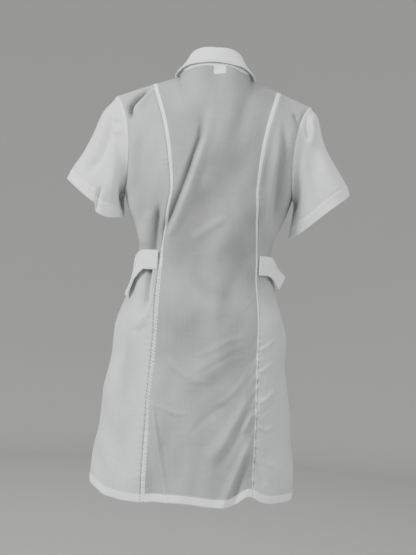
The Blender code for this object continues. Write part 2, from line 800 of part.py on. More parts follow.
def main():
    for old in list(bpy.data.objects):
        bpy.data.objects.remove(old)
    cloth = {}

    def own_cloth(name, colour=WHITE):
        cloth[name] = material(name + "_cloth", colour, 0.9)
        return cloth[name]

    make_back(own_cloth)
    left, right = make_fronts(own_cloth)
    make_sleeve("sleeve_left", own_cloth, 1)
    make_sleeve("sleeve_right", own_cloth, -1)
    make_belt("half_belt_left", own_cloth, 1, BELT_LENGTH_LEFT, BELT_DROOP_LEFT)
    make_belt("half_belt_right", own_cloth, -1, BELT_LENGTH_RIGHT, BELT_DROOP_RIGHT)
    make_collar(own_cloth)
    make_lapels(own_cloth)
    make_neck_trim(own_cloth)
    make_pockets(own_cloth)
    buttons, cutters = make_buttons(material("button", PEARL, 0.35))
    cut(right[1], cutters)
    hang_from(left + buttons, "front_left_axis", (SWING_X, SWING_Y, WAIST_Z))
    hang_from(right, "front_right_axis", (-SWING_X, SWING_Y, WAIST_Z))


main()
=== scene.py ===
"""A white lab coat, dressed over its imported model: cloth, seams, stitching, buttons, and a plain studio."""

from math import atan2, cos, pi, radians, sin

import bmesh
import bpy
import numpy as np
from mathutils import Matrix, Vector


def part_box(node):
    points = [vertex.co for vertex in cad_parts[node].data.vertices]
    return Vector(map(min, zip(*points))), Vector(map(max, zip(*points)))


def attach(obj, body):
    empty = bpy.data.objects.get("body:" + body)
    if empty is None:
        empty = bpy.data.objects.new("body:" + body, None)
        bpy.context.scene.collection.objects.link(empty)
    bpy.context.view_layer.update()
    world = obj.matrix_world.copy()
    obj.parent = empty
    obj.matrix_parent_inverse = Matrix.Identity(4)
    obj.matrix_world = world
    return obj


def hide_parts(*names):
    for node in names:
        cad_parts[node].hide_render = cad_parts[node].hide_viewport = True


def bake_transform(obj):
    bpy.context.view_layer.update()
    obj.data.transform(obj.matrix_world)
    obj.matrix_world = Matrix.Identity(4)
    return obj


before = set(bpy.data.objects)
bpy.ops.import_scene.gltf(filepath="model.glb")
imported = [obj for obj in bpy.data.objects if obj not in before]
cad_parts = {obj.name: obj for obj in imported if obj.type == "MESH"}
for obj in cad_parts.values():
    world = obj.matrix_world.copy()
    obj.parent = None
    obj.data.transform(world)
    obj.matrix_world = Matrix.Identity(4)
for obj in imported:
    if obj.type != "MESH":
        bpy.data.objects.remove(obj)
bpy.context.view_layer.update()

bl_info = {
    "name": "Lab Coat Maker",
    "version": (1, 0, 0),
    "blender": (4, 5, 0),
    "location": "View3D > Sidebar > Lab Coat",
    "description": "Sews a short-sleeved lab coat with princess seams, half belts and a notched collar",
    "category": "Add Mesh",
}

# ---- The coat's pattern, in metres from the neck points ------------------------------------------------
HEM_Z, HIP_Z, WAIST_Z, UNDERARM_Z = -0.925, -0.575, -0.405, -0.260
BREAK_Z, BLADE_Z, TIP_Z, BACK_NECK_Z = -0.190, -0.175, -0.051, 0.031
LEVELS = (HEM_Z, HIP_Z, WAIST_Z, UNDERARM_Z)
HALF_WIDTH = (0.228, 0.189, 0.150, 0.189)
BACK_DEPTH = (0.160, 0.140, 0.104, 0.124)
FRONT_DEPTH = (0.168, 0.150, 0.128, 0.147)
BACK_SEAM = (0.120, 0.112, 0.104, 0.098)
FRONT_SEAM = (0.122, 0.108, 0.095, 0.102)
SHOULDER_SEAM = 0.138
SQUARENESS = 2.25
TIP_HALF, NECK_HALF, CHEST_HALF = 0.217, 0.080, 0.189
BLADE_BACK, NECK_BACK, CHEST_BACK, BUST_FRONT = 0.129, 0.062, 0.124, 0.147
ARMHOLE_BACK, ARMHOLE_FRONT = 0.060, 0.052
SCOOP_BACK, SCOOP_FRONT = 0.012, 0.026
OVERLAP = 0.018
SLEEVE_OUTER, SLEEVE_INNER, SLEEVE_DEPTH = (0.317, -0.243), (0.204, -0.342), 0.056
BACK_ROWS, TOP_ROWS = 240, 110       # rows of threads drawn below and above the underarm
ROWS = BACK_ROWS + TOP_ROWS
FAR = 9.0                            # a distance that nothing on the coat comes near
HEM_STITCH_Z = HEM_Z + 0.019         # the level of the hem's row of stitches
BELT_Z = -0.414                      # the middle of the half belts

CENTRE_BACK = (
    (UNDERARM_Z, CHEST_BACK), (BLADE_Z, BLADE_BACK), (-0.072, 0.11426), (-0.0102, 0.08746),
    (BACK_NECK_Z, NECK_BACK),
)
FRONT_EDGE = (
    (UNDERARM_Z, BUST_FRONT), (BREAK_Z, 0.975 * BUST_FRONT), (0.76 * BREAK_Z, 0.88 * BUST_FRONT),
    (0.47 * BREAK_Z, 0.66 * BUST_FRONT), (0.21 * BREAK_Z, 0.36 * BUST_FRONT), (0.0, 0.0),
)


# ======================================================================================================
# Curves and the coat's surface, for whole arrays of places at once. The wearer's left has X > 0.
# ======================================================================================================
def curve(points, at):
    """The smooth curve through (position, value) points that never overshoots them."""
    xs, ys = np.array(points, float).T
    slope = np.diff(ys) / np.diff(xs)
    before, after = slope[:-1], slope[1:]
    turning = before * after <= 0
    joined = np.where(turning, 0.0, 2 * before * after / np.where(turning, 1.0, before + after))
    tangent = np.concatenate([slope[:1], joined, slope[-1:]])
    at = np.clip(at, xs[0], xs[-1])
    i = np.clip(np.searchsorted(xs, at, "right") - 1, 0, len(xs) - 2)
    width = xs[i + 1] - xs[i]
    t = (at - xs[i]) / width
    return (
        ys[i] * (1 + 2 * t) * (1 - t) ** 2
        + tangent[i] * width * t * (1 - t) ** 2
        + ys[i + 1] * t * t * (3 - 2 * t)
        + tangent[i + 1] * width * t * t * (t - 1)
    )


def by_level(values, z):
    """A size given at the hem, hip, waist and underarm, at any level between them."""
    return curve(tuple(zip(LEVELS, values)), z)


def place(x, y, z):
    """Places from their coordinates, each an array or a number."""
    return np.stack(np.broadcast_arrays(np.asarray(x, float), y, z), -1)


def mix(a, b, t):
    """From a to b as t goes from 0 to 1, for numbers or places."""
    if isinstance(t, np.ndarray) and np.ndim(a) > t.ndim:
        t = t[..., None]
    return a + (b - a) * t


def ease(t):
    """0 up to t = 0, 1 from t = 1, and smooth between them."""
    t = np.clip(t, 0.0, 1.0)
    return t * t * (3 - 2 * t)


def unit(v):
    return v / np.maximum(np.linalg.norm(v, axis=-1, keepdims=True), 1e-12)


def ring(angle, z, depths, sign):
    """The body's cross-section at a level, by angle from the centre line to the side."""
    s, c = np.sin(angle), np.cos(angle)
    reach = (np.abs(s) ** SQUARENESS + np.abs(c) ** SQUARENESS) ** (-1 / SQUARENESS)
    return place(by_level(HALF_WIDTH, z) * reach * s, sign * by_level(depths, z) * reach * c, z)


def ring_angle(x, z):
    """The angle of the cross-section at which it stands x from the middle, by halving."""
    x, z = np.broadcast_arrays(np.asarray(x, float), np.asarray(z, float))
    half = by_level(HALF_WIDTH, z)
    low, high = np.zeros(x.shape), np.full(x.shape, pi / 2)
    for _ in range(34):
        middle = (low + high) / 2
        s, c = np.sin(middle), np.cos(middle)
        short = half * s * (s ** SQUARENESS + c ** SQUARENESS) ** (-1 / SQUARENESS) < np.abs(x)
        low, high = np.where(short, middle, low), np.where(short, high, middle)
    return np.where(x >= 0, low, -low)


def armhole(t, sign):
    """The armhole seam from the underarm (0) to the shoulder tip (1). sign is 1 at the back, -1 in front."""
    turn = pi * t
    back = sign > 0
    depth, scoop = np.where(back, ARMHOLE_BACK, ARMHOLE_FRONT), np.where(back, SCOOP_BACK, SCOOP_FRONT)
    rise = (1 - np.cos(turn)) / 2
    return place(
        mix(CHEST_HALF, TIP_HALF, rise ** 3) - scoop * np.sin(turn),
        np.where(back, 1, -1) * depth * np.sin(turn),
        mix(UNDERARM_Z, TIP_Z, rise),
    )


def shoulder(t):
    """The shoulder seam from the neck point (0) to the tip (1)."""
    t = np.asarray(t, float)
    return place(mix(NECK_HALF, TIP_HALF, t), 0.0, TIP_Z * np.maximum(t, 0) ** 1.1)


SHOULDER_SHARE = (SHOULDER_SEAM - NECK_HALF) / (TIP_HALF - NECK_HALF)
BACK_SHARE = float(ring_angle(BACK_SEAM[-1], UNDERARM_Z)) / (pi / 2)
BREAK_UP = (BREAK_Z - UNDERARM_Z) / -UNDERARM_Z


def coons(bottom, top, inner, outer, across, up):
    """The smooth patch between four edge curves."""
    corners = mix(
        mix(bottom(np.zeros_like(up)), bottom(np.ones_like(up)), across),
        mix(top(np.zeros_like(up)), top(np.ones_like(up)), across), up,
    )
    return mix(bottom(across), top(across), up) + mix(inner(up), outer(up), across) - corners


def back_neckline(t):
    turn = np.asarray(t) * pi / 2
    return place(NECK_HALF * np.sin(turn), NECK_BACK * np.cos(turn), BACK_NECK_Z * np.cos(turn))


def past_princess(across, share):
    """The part of the shoulder seam outside the princess seam."""
    return shoulder(mix(SHOULDER_SHARE, 1.0, (across - share) / (1 - share)))


def back_top(across):
    centre, seam = back_neckline(np.zeros_like(across)), shoulder(np.full_like(across, SHOULDER_SHARE))
    plain = mix(centre, seam, across / BACK_SHARE)
    return np.where((across > BACK_SHARE)[..., None], past_princess(across, BACK_SHARE), plain)


def neck_corner(across):
    """What the back's straight top edge must move by to follow the neck and the shoulder."""
    half = BACK_SHARE / 2
    sloping = shoulder(np.clip(SHOULDER_SHARE * (across - half) / half, 0, 1))
    seam = np.where((across > half)[..., None], sloping, back_neckline(np.clip(across / half, 0, 1)))
    return np.where((across > BACK_SHARE)[..., None], 0.0, seam - back_top(across))


def back_upper(across, up):
    def centre(t):
        z = mix(UNDERARM_Z, BACK_NECK_Z, t)
        return place(np.zeros_like(z), curve(CENTRE_BACK, z), z)

    flat = coons(
        lambda a: ring(a * pi / 2, np.full_like(a, UNDERARM_Z), BACK_DEPTH, 1), back_top, centre,
        lambda t: armhole(t, 1), across, up,
    )
    return flat + neck_corner(across) * (up ** 4)[..., None]


def edge_angle(z):
    """The angle of the front edge, which lies past the centre line by the overlap."""
    return ring_angle(np.full(np.shape(z), -OVERLAP), z)


def front_edge(t):
    t = np.asarray(t, float)
    z = mix(UNDERARM_Z, 0.0, t)
    opened = np.clip((z - BREAK_Z) / -BREAK_Z, 0, None)
    return place(mix(-OVERLAP, NECK_HALF, opened ** 0.92), -curve(FRONT_EDGE, z), z)


def front_share(z):
    """How far across the front its princess seam is."""
    inner = edge_angle(z)
    return (ring_angle(by_level(FRONT_SEAM, z), z) - inner) / (pi / 2 - inner)


CHEST_SHARE = float(front_share(np.array(UNDERARM_Z)))


def front_upper(across, up):
    inner = float(edge_angle(np.array(UNDERARM_Z)))

    def top(a):
        sloping = shoulder(np.clip(SHOULDER_SHARE * a / CHEST_SHARE, 0, 1))
        return np.where((a > CHEST_SHARE)[..., None], past_princess(a, CHEST_SHARE), sloping)

    return coons(
        lambda a: ring(mix(inner, pi / 2, a), np.full_like(a, UNDERARM_Z), FRONT_DEPTH, -1), top, front_edge,
        lambda t: armhole(t, -1), across, up,
    )


def back(across, height):
    """across: 0 at the centre back, 1 at the side. height: 0 at the hem, 1 at the underarm, 2 at the shoulder."""
    across, height = np.broadcast_arrays(np.asarray(across, float), np.asarray(height, float))
    low = ring(across * pi / 2, mix(HEM_Z, UNDERARM_Z, np.clip(height, 0, 1)), BACK_DEPTH, 1)
    return np.where((height <= 1)[..., None], low, back_upper(across, np.clip(height - 1, 0, 1)))


def front(across, height):
    """across: 0 at the front edge, 1 at the side. height: as for the back."""
    across, height = np.broadcast_arrays(np.asarray(across, float), np.asarray(height, float))
    z = mix(HEM_Z, UNDERARM_Z, np.clip(height, 0, 1))
    low = ring(mix(edge_angle(z), pi / 2, across), z, FRONT_DEPTH, -1)
    return np.where((height <= 1)[..., None], low, front_upper(across, np.clip(height - 1, 0, 1)))


def hung_seam(height, side):
    """The back's princess seam as it hangs: both seams are drawn a little to the wearer's right."""
    z = mix(HEM_Z, UNDERARM_Z, np.clip(height, 0, 1))
    left, right = by_level((-0.014, -0.011, -0.006, -0.017), z), by_level((0.012, 0.014, 0.012, 0.010), z)
    share = ring_angle(by_level(BACK_SEAM, z) + np.where(side > 0, left, right), z) / (pi / 2)
    top = np.where(side > 0, BACK_SHARE, BACK_SHARE + 0.011 / (TIP_HALF - SHOULDER_SEAM) * (1 - BACK_SHARE))
    return mix(share, top, ease(height - 1))


def front_princess(height):
    return front_share(mix(HEM_Z, UNDERARM_Z, np.clip(height, 0, 1)))


def outward(surface, across, height, sign):
    """The direction that a surface faces, away from the body."""
    step = 1e-3
    sideways = surface(np.clip(across + step, 0, 1), height) - surface(np.clip(across - step, 0, 1), height)
    upwards = surface(across, np.clip(height + step, 0, 2)) - surface(across, np.clip(height - step, 0, 2))
    return unit(sign * np.cross(upwards, sideways))


def height_of(z):
    """The height, as back() takes it, of a level below the underarm."""
    return (z - HEM_Z) / (UNDERARM_Z - HEM_Z)


# ======================================================================================================
# Folds. Each is (depth, half width, path of (x, z) places). Depth is outwards, so a valley's is negative.
# ======================================================================================================
BACK_FOLDS = (
    # the long slanting fold from the left of the neck to the waist: its valley, then its ridge
    (-0.0115, 0.0068, (
        (0.0245, -0.080), (0.0264, -0.147), (0.040, -0.2015), (0.057, -0.260), (0.078, -0.319), (0.094, -0.357),
        (0.100, -0.430),
    )),
    (0.0100, 0.012, (
        (0.007, -0.070), (0.012, -0.147), (0.026, -0.2015), (0.043, -0.260), (0.064, -0.319), (0.080, -0.357),
        (0.086, -0.430),
    )),
    # by the left shoulder and armhole
    (-0.0190, 0.0065, (
        (0.134, -0.014), (0.1536, -0.0373), (0.1711, -0.0596), (0.183, -0.0812), (0.186, -0.105), (0.186, -0.125),
    )),
    (0.0070, 0.008, ((0.130, -0.026), (0.150, -0.052), (0.166, -0.078), (0.172, -0.108))),
    (-0.0050, 0.013, ((0.150, -0.130), (0.160, -0.182), (0.160, -0.290))),
    # by the right shoulder and armhole
    (-0.0085, 0.009, ((-0.156, -0.080), (-0.158, -0.142), (-0.154, -0.249), (-0.148, -0.350))),
    (0.0045, 0.009, ((-0.140, -0.100), (-0.141, -0.170), (-0.136, -0.260), (-0.133, -0.380))),
    (-0.0060, 0.006, ((-0.176, -0.070), (-0.186, -0.096), (-0.196, -0.122))),
    # above and below the left half belt
    (-0.0130, 0.0075, ((0.104, -0.285), (0.110, -0.345), (0.117, -0.400), (0.119, -0.430))),
    (0.0050, 0.010, ((0.124, -0.300), (0.132, -0.345), (0.136, -0.400))),
    (0.0050, 0.010, ((0.172, -0.268), (0.150, -0.331), (0.132, -0.392))),
    (0.0070, 0.005, ((0.108, -0.410), (0.107, -0.496), (0.113, -0.532), (0.132, -0.550), (0.146, -0.552))),
    (-0.0120, 0.006, ((0.120, -0.400), (0.118, -0.450), (0.119, -0.500), (0.126, -0.530))),
    (0.0040, 0.009, ((0.136, -0.410), (0.140, -0.480), (0.148, -0.560), (0.154, -0.640))),
    (-0.0040, 0.007, ((0.112, -0.552), (0.130, -0.568), (0.150, -0.570))),
    (-0.0050, 0.009, ((0.150, -0.560), (0.158, -0.640), (0.160, -0.760))),
    # low creases across the skirt
    (0.0016, 0.005, ((0.100, -0.716), (0.072, -0.726), (0.040, -0.736), (0.006, -0.736))),
    (0.0017, 0.006, ((0.016, -0.618), (-0.020, -0.602), (-0.060, -0.578), (-0.110, -0.560))),
    (-0.0015, 0.006, ((0.010, -0.660), (-0.030, -0.632), (-0.070, -0.606), (-0.112, -0.592))),
    (0.0016, 0.007, ((0.086, -0.606), (0.050, -0.640), (0.010, -0.664), (-0.040, -0.670))),
    (0.0018, 0.006, ((-0.112, -0.632), (-0.092, -0.668), (-0.062, -0.702), (-0.030, -0.722))),
    (-0.0016, 0.007, ((0.020, -0.790), (-0.012, -0.752), (-0.044, -0.724), (-0.080, -0.704))),
    (0.0035, 0.010, ((-0.044, -0.309), (0.003, -0.346), (0.040, -0.372))),
    (-0.0045, 0.024, ((-0.108, -0.590), (-0.060, -0.649), (0.004, -0.698), (0.050, -0.720))),
    # drawn from the right princess seam into the skirt and the side panel
    (0.0055, 0.011, ((-0.116, -0.684), (-0.085, -0.746), (-0.060, -0.790), (-0.024, -0.839))),
    (-0.0040, 0.010, ((-0.116, -0.716), (-0.094, -0.766), (-0.072, -0.812), (-0.044, -0.862))),
    (0.0040, 0.006, ((-0.122, -0.726), (-0.098, -0.780))),
    (0.0065, 0.010, ((-0.119, -0.787), (-0.094, -0.859), (-0.067, -0.925))),
    (-0.0060, 0.008, ((-0.119, -0.820), (-0.102, -0.870), (-0.088, -0.925))),
    (0.0034, 0.004, ((-0.123, -0.600), (-0.146, -0.584), (-0.166, -0.566))),
    (0.0026, 0.004, ((-0.126, -0.645), (-0.146, -0.631), (-0.160, -0.618))),
    (0.0036, 0.004, ((-0.128, -0.712), (-0.152, -0.696), (-0.170, -0.676))),
    (-0.0030, 0.005, ((-0.128, -0.735), (-0.154, -0.722), (-0.176, -0.700))),
    (0.0036, 0.004, ((-0.128, -0.758), (-0.152, -0.768), (-0.172, -0.757))),
    (0.0036, 0.004, ((-0.130, -0.815), (-0.152, -0.836), (-0.176, -0.850))),
    (-0.0040, 0.007, ((-0.128, -0.838), (-0.144, -0.868), (-0.160, -0.890))),
    # the skirt's soft upright folds
    (0.0045, 0.0045, ((0.092, -0.690), (0.086, -0.740), (0.076, -0.798), (0.050, -0.925))),
    (-0.0045, 0.008, ((0.104, -0.720), (0.096, -0.800), (0.078, -0.925))),
    (0.0045, 0.014, ((0.176, -0.600), (0.190, -0.740), (0.196, -0.900))),
    (-0.0045, 0.014, ((0.146, -0.560), (0.156, -0.740), (0.158, -0.925))),
    (0.0040, 0.020, ((0.000, -0.720), (0.006, -0.820), (0.010, -0.925))),
    (0.0030, 0.018, ((0.040, -0.440), (0.000, -0.500), (-0.060, -0.530))),
    (-0.0030, 0.016, ((0.020, -0.450), (-0.020, -0.480), (-0.080, -0.490))),
)
FRONT_FOLDS = (
    (0.0060, 0.016, ((0.110, -0.430), (0.130, -0.600), (0.146, -0.925))),
    (-0.0060, 0.016, ((0.076, -0.450), (0.082, -0.640), (0.088, -0.925))),
    (0.0050, 0.014, ((0.050, -0.440), (0.052, -0.640), (0.054, -0.925))),
    (0.0055, 0.016, ((-0.098, -0.420), (-0.116, -0.600), (-0.128, -0.925))),
    (-0.0060, 0.016, ((-0.066, -0.440), (-0.078, -0.640), (-0.088, -0.925))),
    (0.0045, 0.014, ((-0.040, -0.560), (-0.046, -0.700), (-0.050, -0.925))),
    (-0.0050, 0.009, ((0.152, -0.050), (0.158, -0.110), (0.150, -0.170))),
    (-0.0055, 0.009, ((-0.150, -0.050), (-0.158, -0.110), (-0.152, -0.180))),
    (0.0040, 0.008, ((0.172, -0.270), (0.140, -0.300), (0.110, -0.310))),
    (0.0040, 0.008, ((-0.172, -0.270), (-0.142, -0.292), (-0.108, -0.300))),
    (-0.0035, 0.008, ((0.150, -0.360), (0.120, -0.385), (0.080, -0.390))),
    (-0.0035, 0.008, ((-0.150, -0.350), (-0.116, -0.372), (-0.070, -0.380))),
    (0.0035, 0.007, ((0.146, -0.410), (0.110, -0.418), (0.060, -0.412))),
    (0.0030, 0.007, ((-0.146, -0.400), (-0.112, -0.412), (-0.050, -0.402))),
)
SLEEVE_FOLDS_LEFT = (
    (-0.0085, 0.009, ((0.228, -0.080), (0.232, -0.115), (0.231, -0.150), (0.248, -0.199), (0.284, -0.250))),
    (0.0060, 0.012, ((0.222, -0.140), (0.215, -0.219), (0.222, -0.290))),
    (0.0045, 0.009, ((0.244, -0.090), (0.250, -0.140), (0.268, -0.190), (0.290, -0.220))),
    (-0.0060, 0.006, ((0.198, -0.112), (0.208, -0.120), (0.224, -0.108))),
    (0.0040, 0.006, ((0.200, -0.128), (0.212, -0.138), (0.228, -0.130))),
    (-0.0090, 0.005, ((0.236, -0.250), (0.243, -0.280), (0.246, -0.340))),
)
SLEEVE_FOLDS_RIGHT = (
    (-0.0100, 0.005, ((-0.204, -0.070), (-0.209, -0.102), (-0.222, -0.136))),
    (0.0045, 0.006, ((-0.212, -0.066), (-0.220, -0.100), (-0.232, -0.126))),
    (0.0050, 0.009, ((-0.216, -0.066), (-0.226, -0.100), (-0.236, -0.150))),
    (-0.0050, 0.013, ((-0.220, -0.170), (-0.240, -0.230), (-0.262, -0.300))),
    (0.0045, 0.014, ((-0.246, -0.150), (-0.268, -0.210), (-0.294, -0.270))),
)


def sizes():
    return bpy.context.scene.lab_coat_sizes


def fold_relief(x, z, table):
    """How far the folds of a table push the cloth out at each place."""
    deeper = sizes().fold_depth
    out = np.zeros(np.shape(x))
    for depth, half, path in table:
        near = np.full(np.shape(x), FAR)
        along = np.zeros(np.shape(x))
        legs = [np.hypot(b[0] - a[0], b[1] - a[1]) for a, b in zip(path, path[1:])]
        gone = 0.0
        for (ax, az), (bx, bz), leg in zip(path, path[1:], legs):
            t = np.clip(((x - ax) * (bx - ax) + (z - az) * (bz - az)) / leg ** 2, 0, 1)
            far = np.hypot(x - ax - t * (bx - ax), z - az - t * (bz - az))
            closer = far < near
            near = np.where(closer, far, near)
            along = np.where(closer, (gone + t * leg) / sum(legs), along)
            gone += leg
        depth = depth * deeper
        runs_off = path[-1][1] <= HEM_Z
        end = np.ones_like(along) if runs_off else ease((1 - along) / 0.3)
        widen = half * (0.75 + 0.5 * along)
        out += depth * np.exp(-((near / widen) ** 2)) * ease(along / 0.3 + 0.05) * end
    return out


def creases(x, z, seed, size=1.0):
    """Low, uneven ripples of handled cloth."""
    draw = np.random.default_rng(seed)
    out = np.zeros(np.shape(x))
    for k in range(14):
        wave = draw.uniform(0.030, 0.15) * size
        turn = draw.uniform(0, pi)
        phase = draw.uniform(0, 2 * pi)
        bend = 0.012 * np.sin(2 * pi * (x * 3.1 - z * 2.3 + k))
        out += 0.0034 * wave / 0.17 * np.sin(2 * pi * (x * cos(turn) + z * sin(turn) * 0.6 + bend) / wave + phase)
    return out * 0.45


# ======================================================================================================
# Cloth pieces
# ======================================================================================================
def grid_places(columns, rows):
    return np.meshgrid(np.linspace(0, 1, columns + 1), np.linspace(0, 1, rows + 1))


def grid_mesh(name, points, facing, marks, finish, cloth, closed):
    """A grid of cloth laid on an array of points, thickened either side, with its own UV map in metres.

    marks are numbers at each point, such as its distance from a seam. A closed piece is joined up its edges.
    """
    rows, columns = points.shape[0] - 1, points.shape[1] - 1
    bm = bmesh.new()
    bmesh.ops.create_grid(bm, x_segments=columns, y_segments=rows, size=0.5)
    place_of = np.array([(v.co.x + 0.5, v.co.y + 0.5) for v in bm.verts])
    i = np.rint(place_of[:, 0] * columns).astype(int)
    j = np.rint(place_of[:, 1] * rows).astype(int)
    mesh = bpy.data.meshes.new(name)
    bm.to_mesh(mesh)
    bm.free()
    mesh.vertices.foreach_set("co", points[j, i].astype(np.float32).ravel())
    along = lengths(points, 1)
    up = lengths(points, 0)
    corner = np.empty(len(mesh.loops), np.int32)
    mesh.loops.foreach_get("vertex_index", corner)
    uv = np.stack([along[j, i], up[j, i]], -1)[corner]
    mesh.uv_layers.new(name="cloth").data.foreach_set("uv", uv.astype(np.float32).ravel())
    for key, values in marks.items():
        made = mesh.attributes.new(key, "FLOAT", "POINT")
        made.data.foreach_set("value", values[j, i].astype(np.float32))
    middle = (rows // 2, columns // 2)
    du = points[middle[0], middle[1] + 1] - points[middle]
    dv = points[middle[0] + 1, middle[1]] - points[middle]
    if np.dot(np.cross(du, dv), facing[middle]) < 0:
        mesh.flip_normals()
    piece = bpy.data.objects.new(name, mesh)
    bpy.context.scene.collection.objects.link(piece)
    if closed:
        bm = bmesh.new()
        bm.from_mesh(mesh)
        bmesh.ops.remove_doubles(bm, verts=bm.verts, dist=2e-5)
        bm.to_mesh(mesh)
        bm.free()
    mesh.shade_smooth()
    mesh.materials.append(finish)
    thick = piece.modifiers.new("Thickness", "SOLIDIFY")
    thick.thickness = cloth
    thick.offset = 0
    return piece


def lengths(points, axis):
    """Distance along the rows or columns of a grid of points."""
    steps = np.linalg.norm(np.diff(points, axis=axis), axis=-1)
    run = np.cumsum(steps, axis=axis)
    pad = [(0, 0), (0, 0)]
    pad[axis] = (1, 0)
    return np.pad(run, pad)


def cut_piece(name, points, facing, marks, finish, cloth, closed=False):
    """A sheet of cloth, laid on its points."""
    piece = grid_mesh(name, points, facing, marks, finish, cloth, closed)
    return piece


def no_hem(across):
    """The marks of a piece that has no hem of its own."""
    return {"hem": np.full_like(across, FAR)}


def mirror_x(array, side):
    """The same places on the wearer's left (1) or right (-1)."""
    out = array.copy()
    out[..., 0] *= side
    return out


def heights(v):
    """Evenly drawn rows: the underarm level falls exactly on one."""
    low = BACK_ROWS / ROWS
    return np.where(v <= low, v / low, 1 + (v - low) / (1 - low))


def seam_relief(distance, along, pucker, allowance):
    """The groove of a seam, the step of the seam allowance under it, and the stitches' small puckers."""
    groove = -0.0011 * np.exp(-((distance / 0.0022) ** 2))
    step = 0.0005 * ease((allowance - distance) / 0.0025)
    wave = np.sin(2 * pi * along / 0.0135 + 1.7 * np.sin(along * 61.0) + 0.9 * np.sin(along * 23.0))
    return groove + step + pucker * wave * np.exp(-distance / 0.010)


def hem_lift(x):
    """How far the back's hem is drawn up at the right princess seam, and how it waves."""
    return 0.021 * np.exp(-(((x + 0.122) / 0.026) ** 2)) + 0.003 * np.sin(x * 31.0 + 0.6)


def allowance_width(x, z):
    """How wide the pressed seam allowances show: full at the shoulder, and narrow where a seam rolls under."""
    left = (
        (-0.93, 0.0085), (-0.72, 0.0075), (-0.60, 0.0090), (-0.42, 0.0090), (-0.37, 0.0045), (-0.28, 0.0050),
        (-0.20, 0.0070), (0.1, 0.0095),
    )
    right = (
        (-0.93, 0.0030), (-0.72, 0.0036), (-0.55, 0.0050), (-0.42, 0.0042), (-0.28, 0.0060), (-0.16, 0.0085),
        (0.1, 0.0095),
    )
    return np.where(x > 0, curve(left, z), curve(right, z))


def side_wave(z):
    """How the side seams stand in and out, fading out under the arms."""
    wave = 0.0030 * np.sin(z * 21.0) + 0.0022 * np.sin(z * 43.0 + 1.2)
    return wave * ease((UNDERARM_Z - 0.02 - z) / 0.10)


def body_relief(points, across, height, sign):
    """Folds and ripples, fading out at the shoulder and neck seams, the armhole and the side seam."""
    x, z = points[..., 0], points[..., 2]
    fade = ease((2 - height) / 0.09) * ease((1 - across) / 0.16)
    table, seed = (BACK_FOLDS, 3) if sign > 0 else (FRONT_FOLDS, 8)
    return (fold_relief(x, z, table) + creases(x, z, seed)) * fade + side_wave(z) * (1 - ease((1 - across) / 0.3))


def lift_hem(points, height, sign, across):
    """Draw the hem up, most at the edge and not at all at the hips."""
    share = ease(1 - height / 0.38) * ease((1 - across) / 0.25)
    rise = hem_lift(points[..., 0]) if sign > 0 else 0.004 * np.sin(points[..., 0] * 27.0)
    out = points.copy()
    out[..., 2] += rise * share + 0.014 * ease(1 - height / 0.38) * ease((points[..., 0] - 0.180) / 0.05)
    return out


def tuck(points):
    """The left front lies under the right one, so near the centre line it runs deeper."""
    near = ease((OVERLAP + 0.030 - points[..., 0]) / 0.030)
    out = points.copy()
    out[..., 1] += 0.0030 * near
    return out


def seam_pucker(x, z, sign):
    """Puckers are strongest down the back's left seam, and where its right seam is drawn up."""
    if sign < 0:
        return 0.00025
    left = 0.00045 * ease((-0.34 - z) / 0.06)
    right = 0.0007 * ease((-0.52 - z) / 0.08)
    return 0.00022 + np.where(x > 0, left, right)


def blade_ease(x, z, distance, past):
    """The small crosswise puckers where the side panel is eased on over the left shoulder blade."""
    wave = np.sin(2 * pi * (z + 0.25 * distance) / 0.0115 + np.sin(z * 90.0))
    window = np.exp(-(((z + 0.205) / 0.028) ** 2)) * np.exp(-((distance / 0.018) ** 2))
    return np.where((x > 0) & past, 0.0011 * wave * window, 0.0)


def drawn_seam(x, z, distance, sign):
    """The fan of puckers along the lower half of the back's right princess seam."""
    if sign < 0:
        return 0.0
    wave = np.sin(2 * pi * (z + 0.55 * distance) / 0.031 + 1.3 * np.sin(z * 37.0))
    window = ease((-0.53 - z) / 0.10) * ease((z + 0.93) / 0.05)
    return np.where(x < 0, 0.0011 * wave * window * np.exp(-((distance - 0.004) / 0.022) ** 2), 0.0)


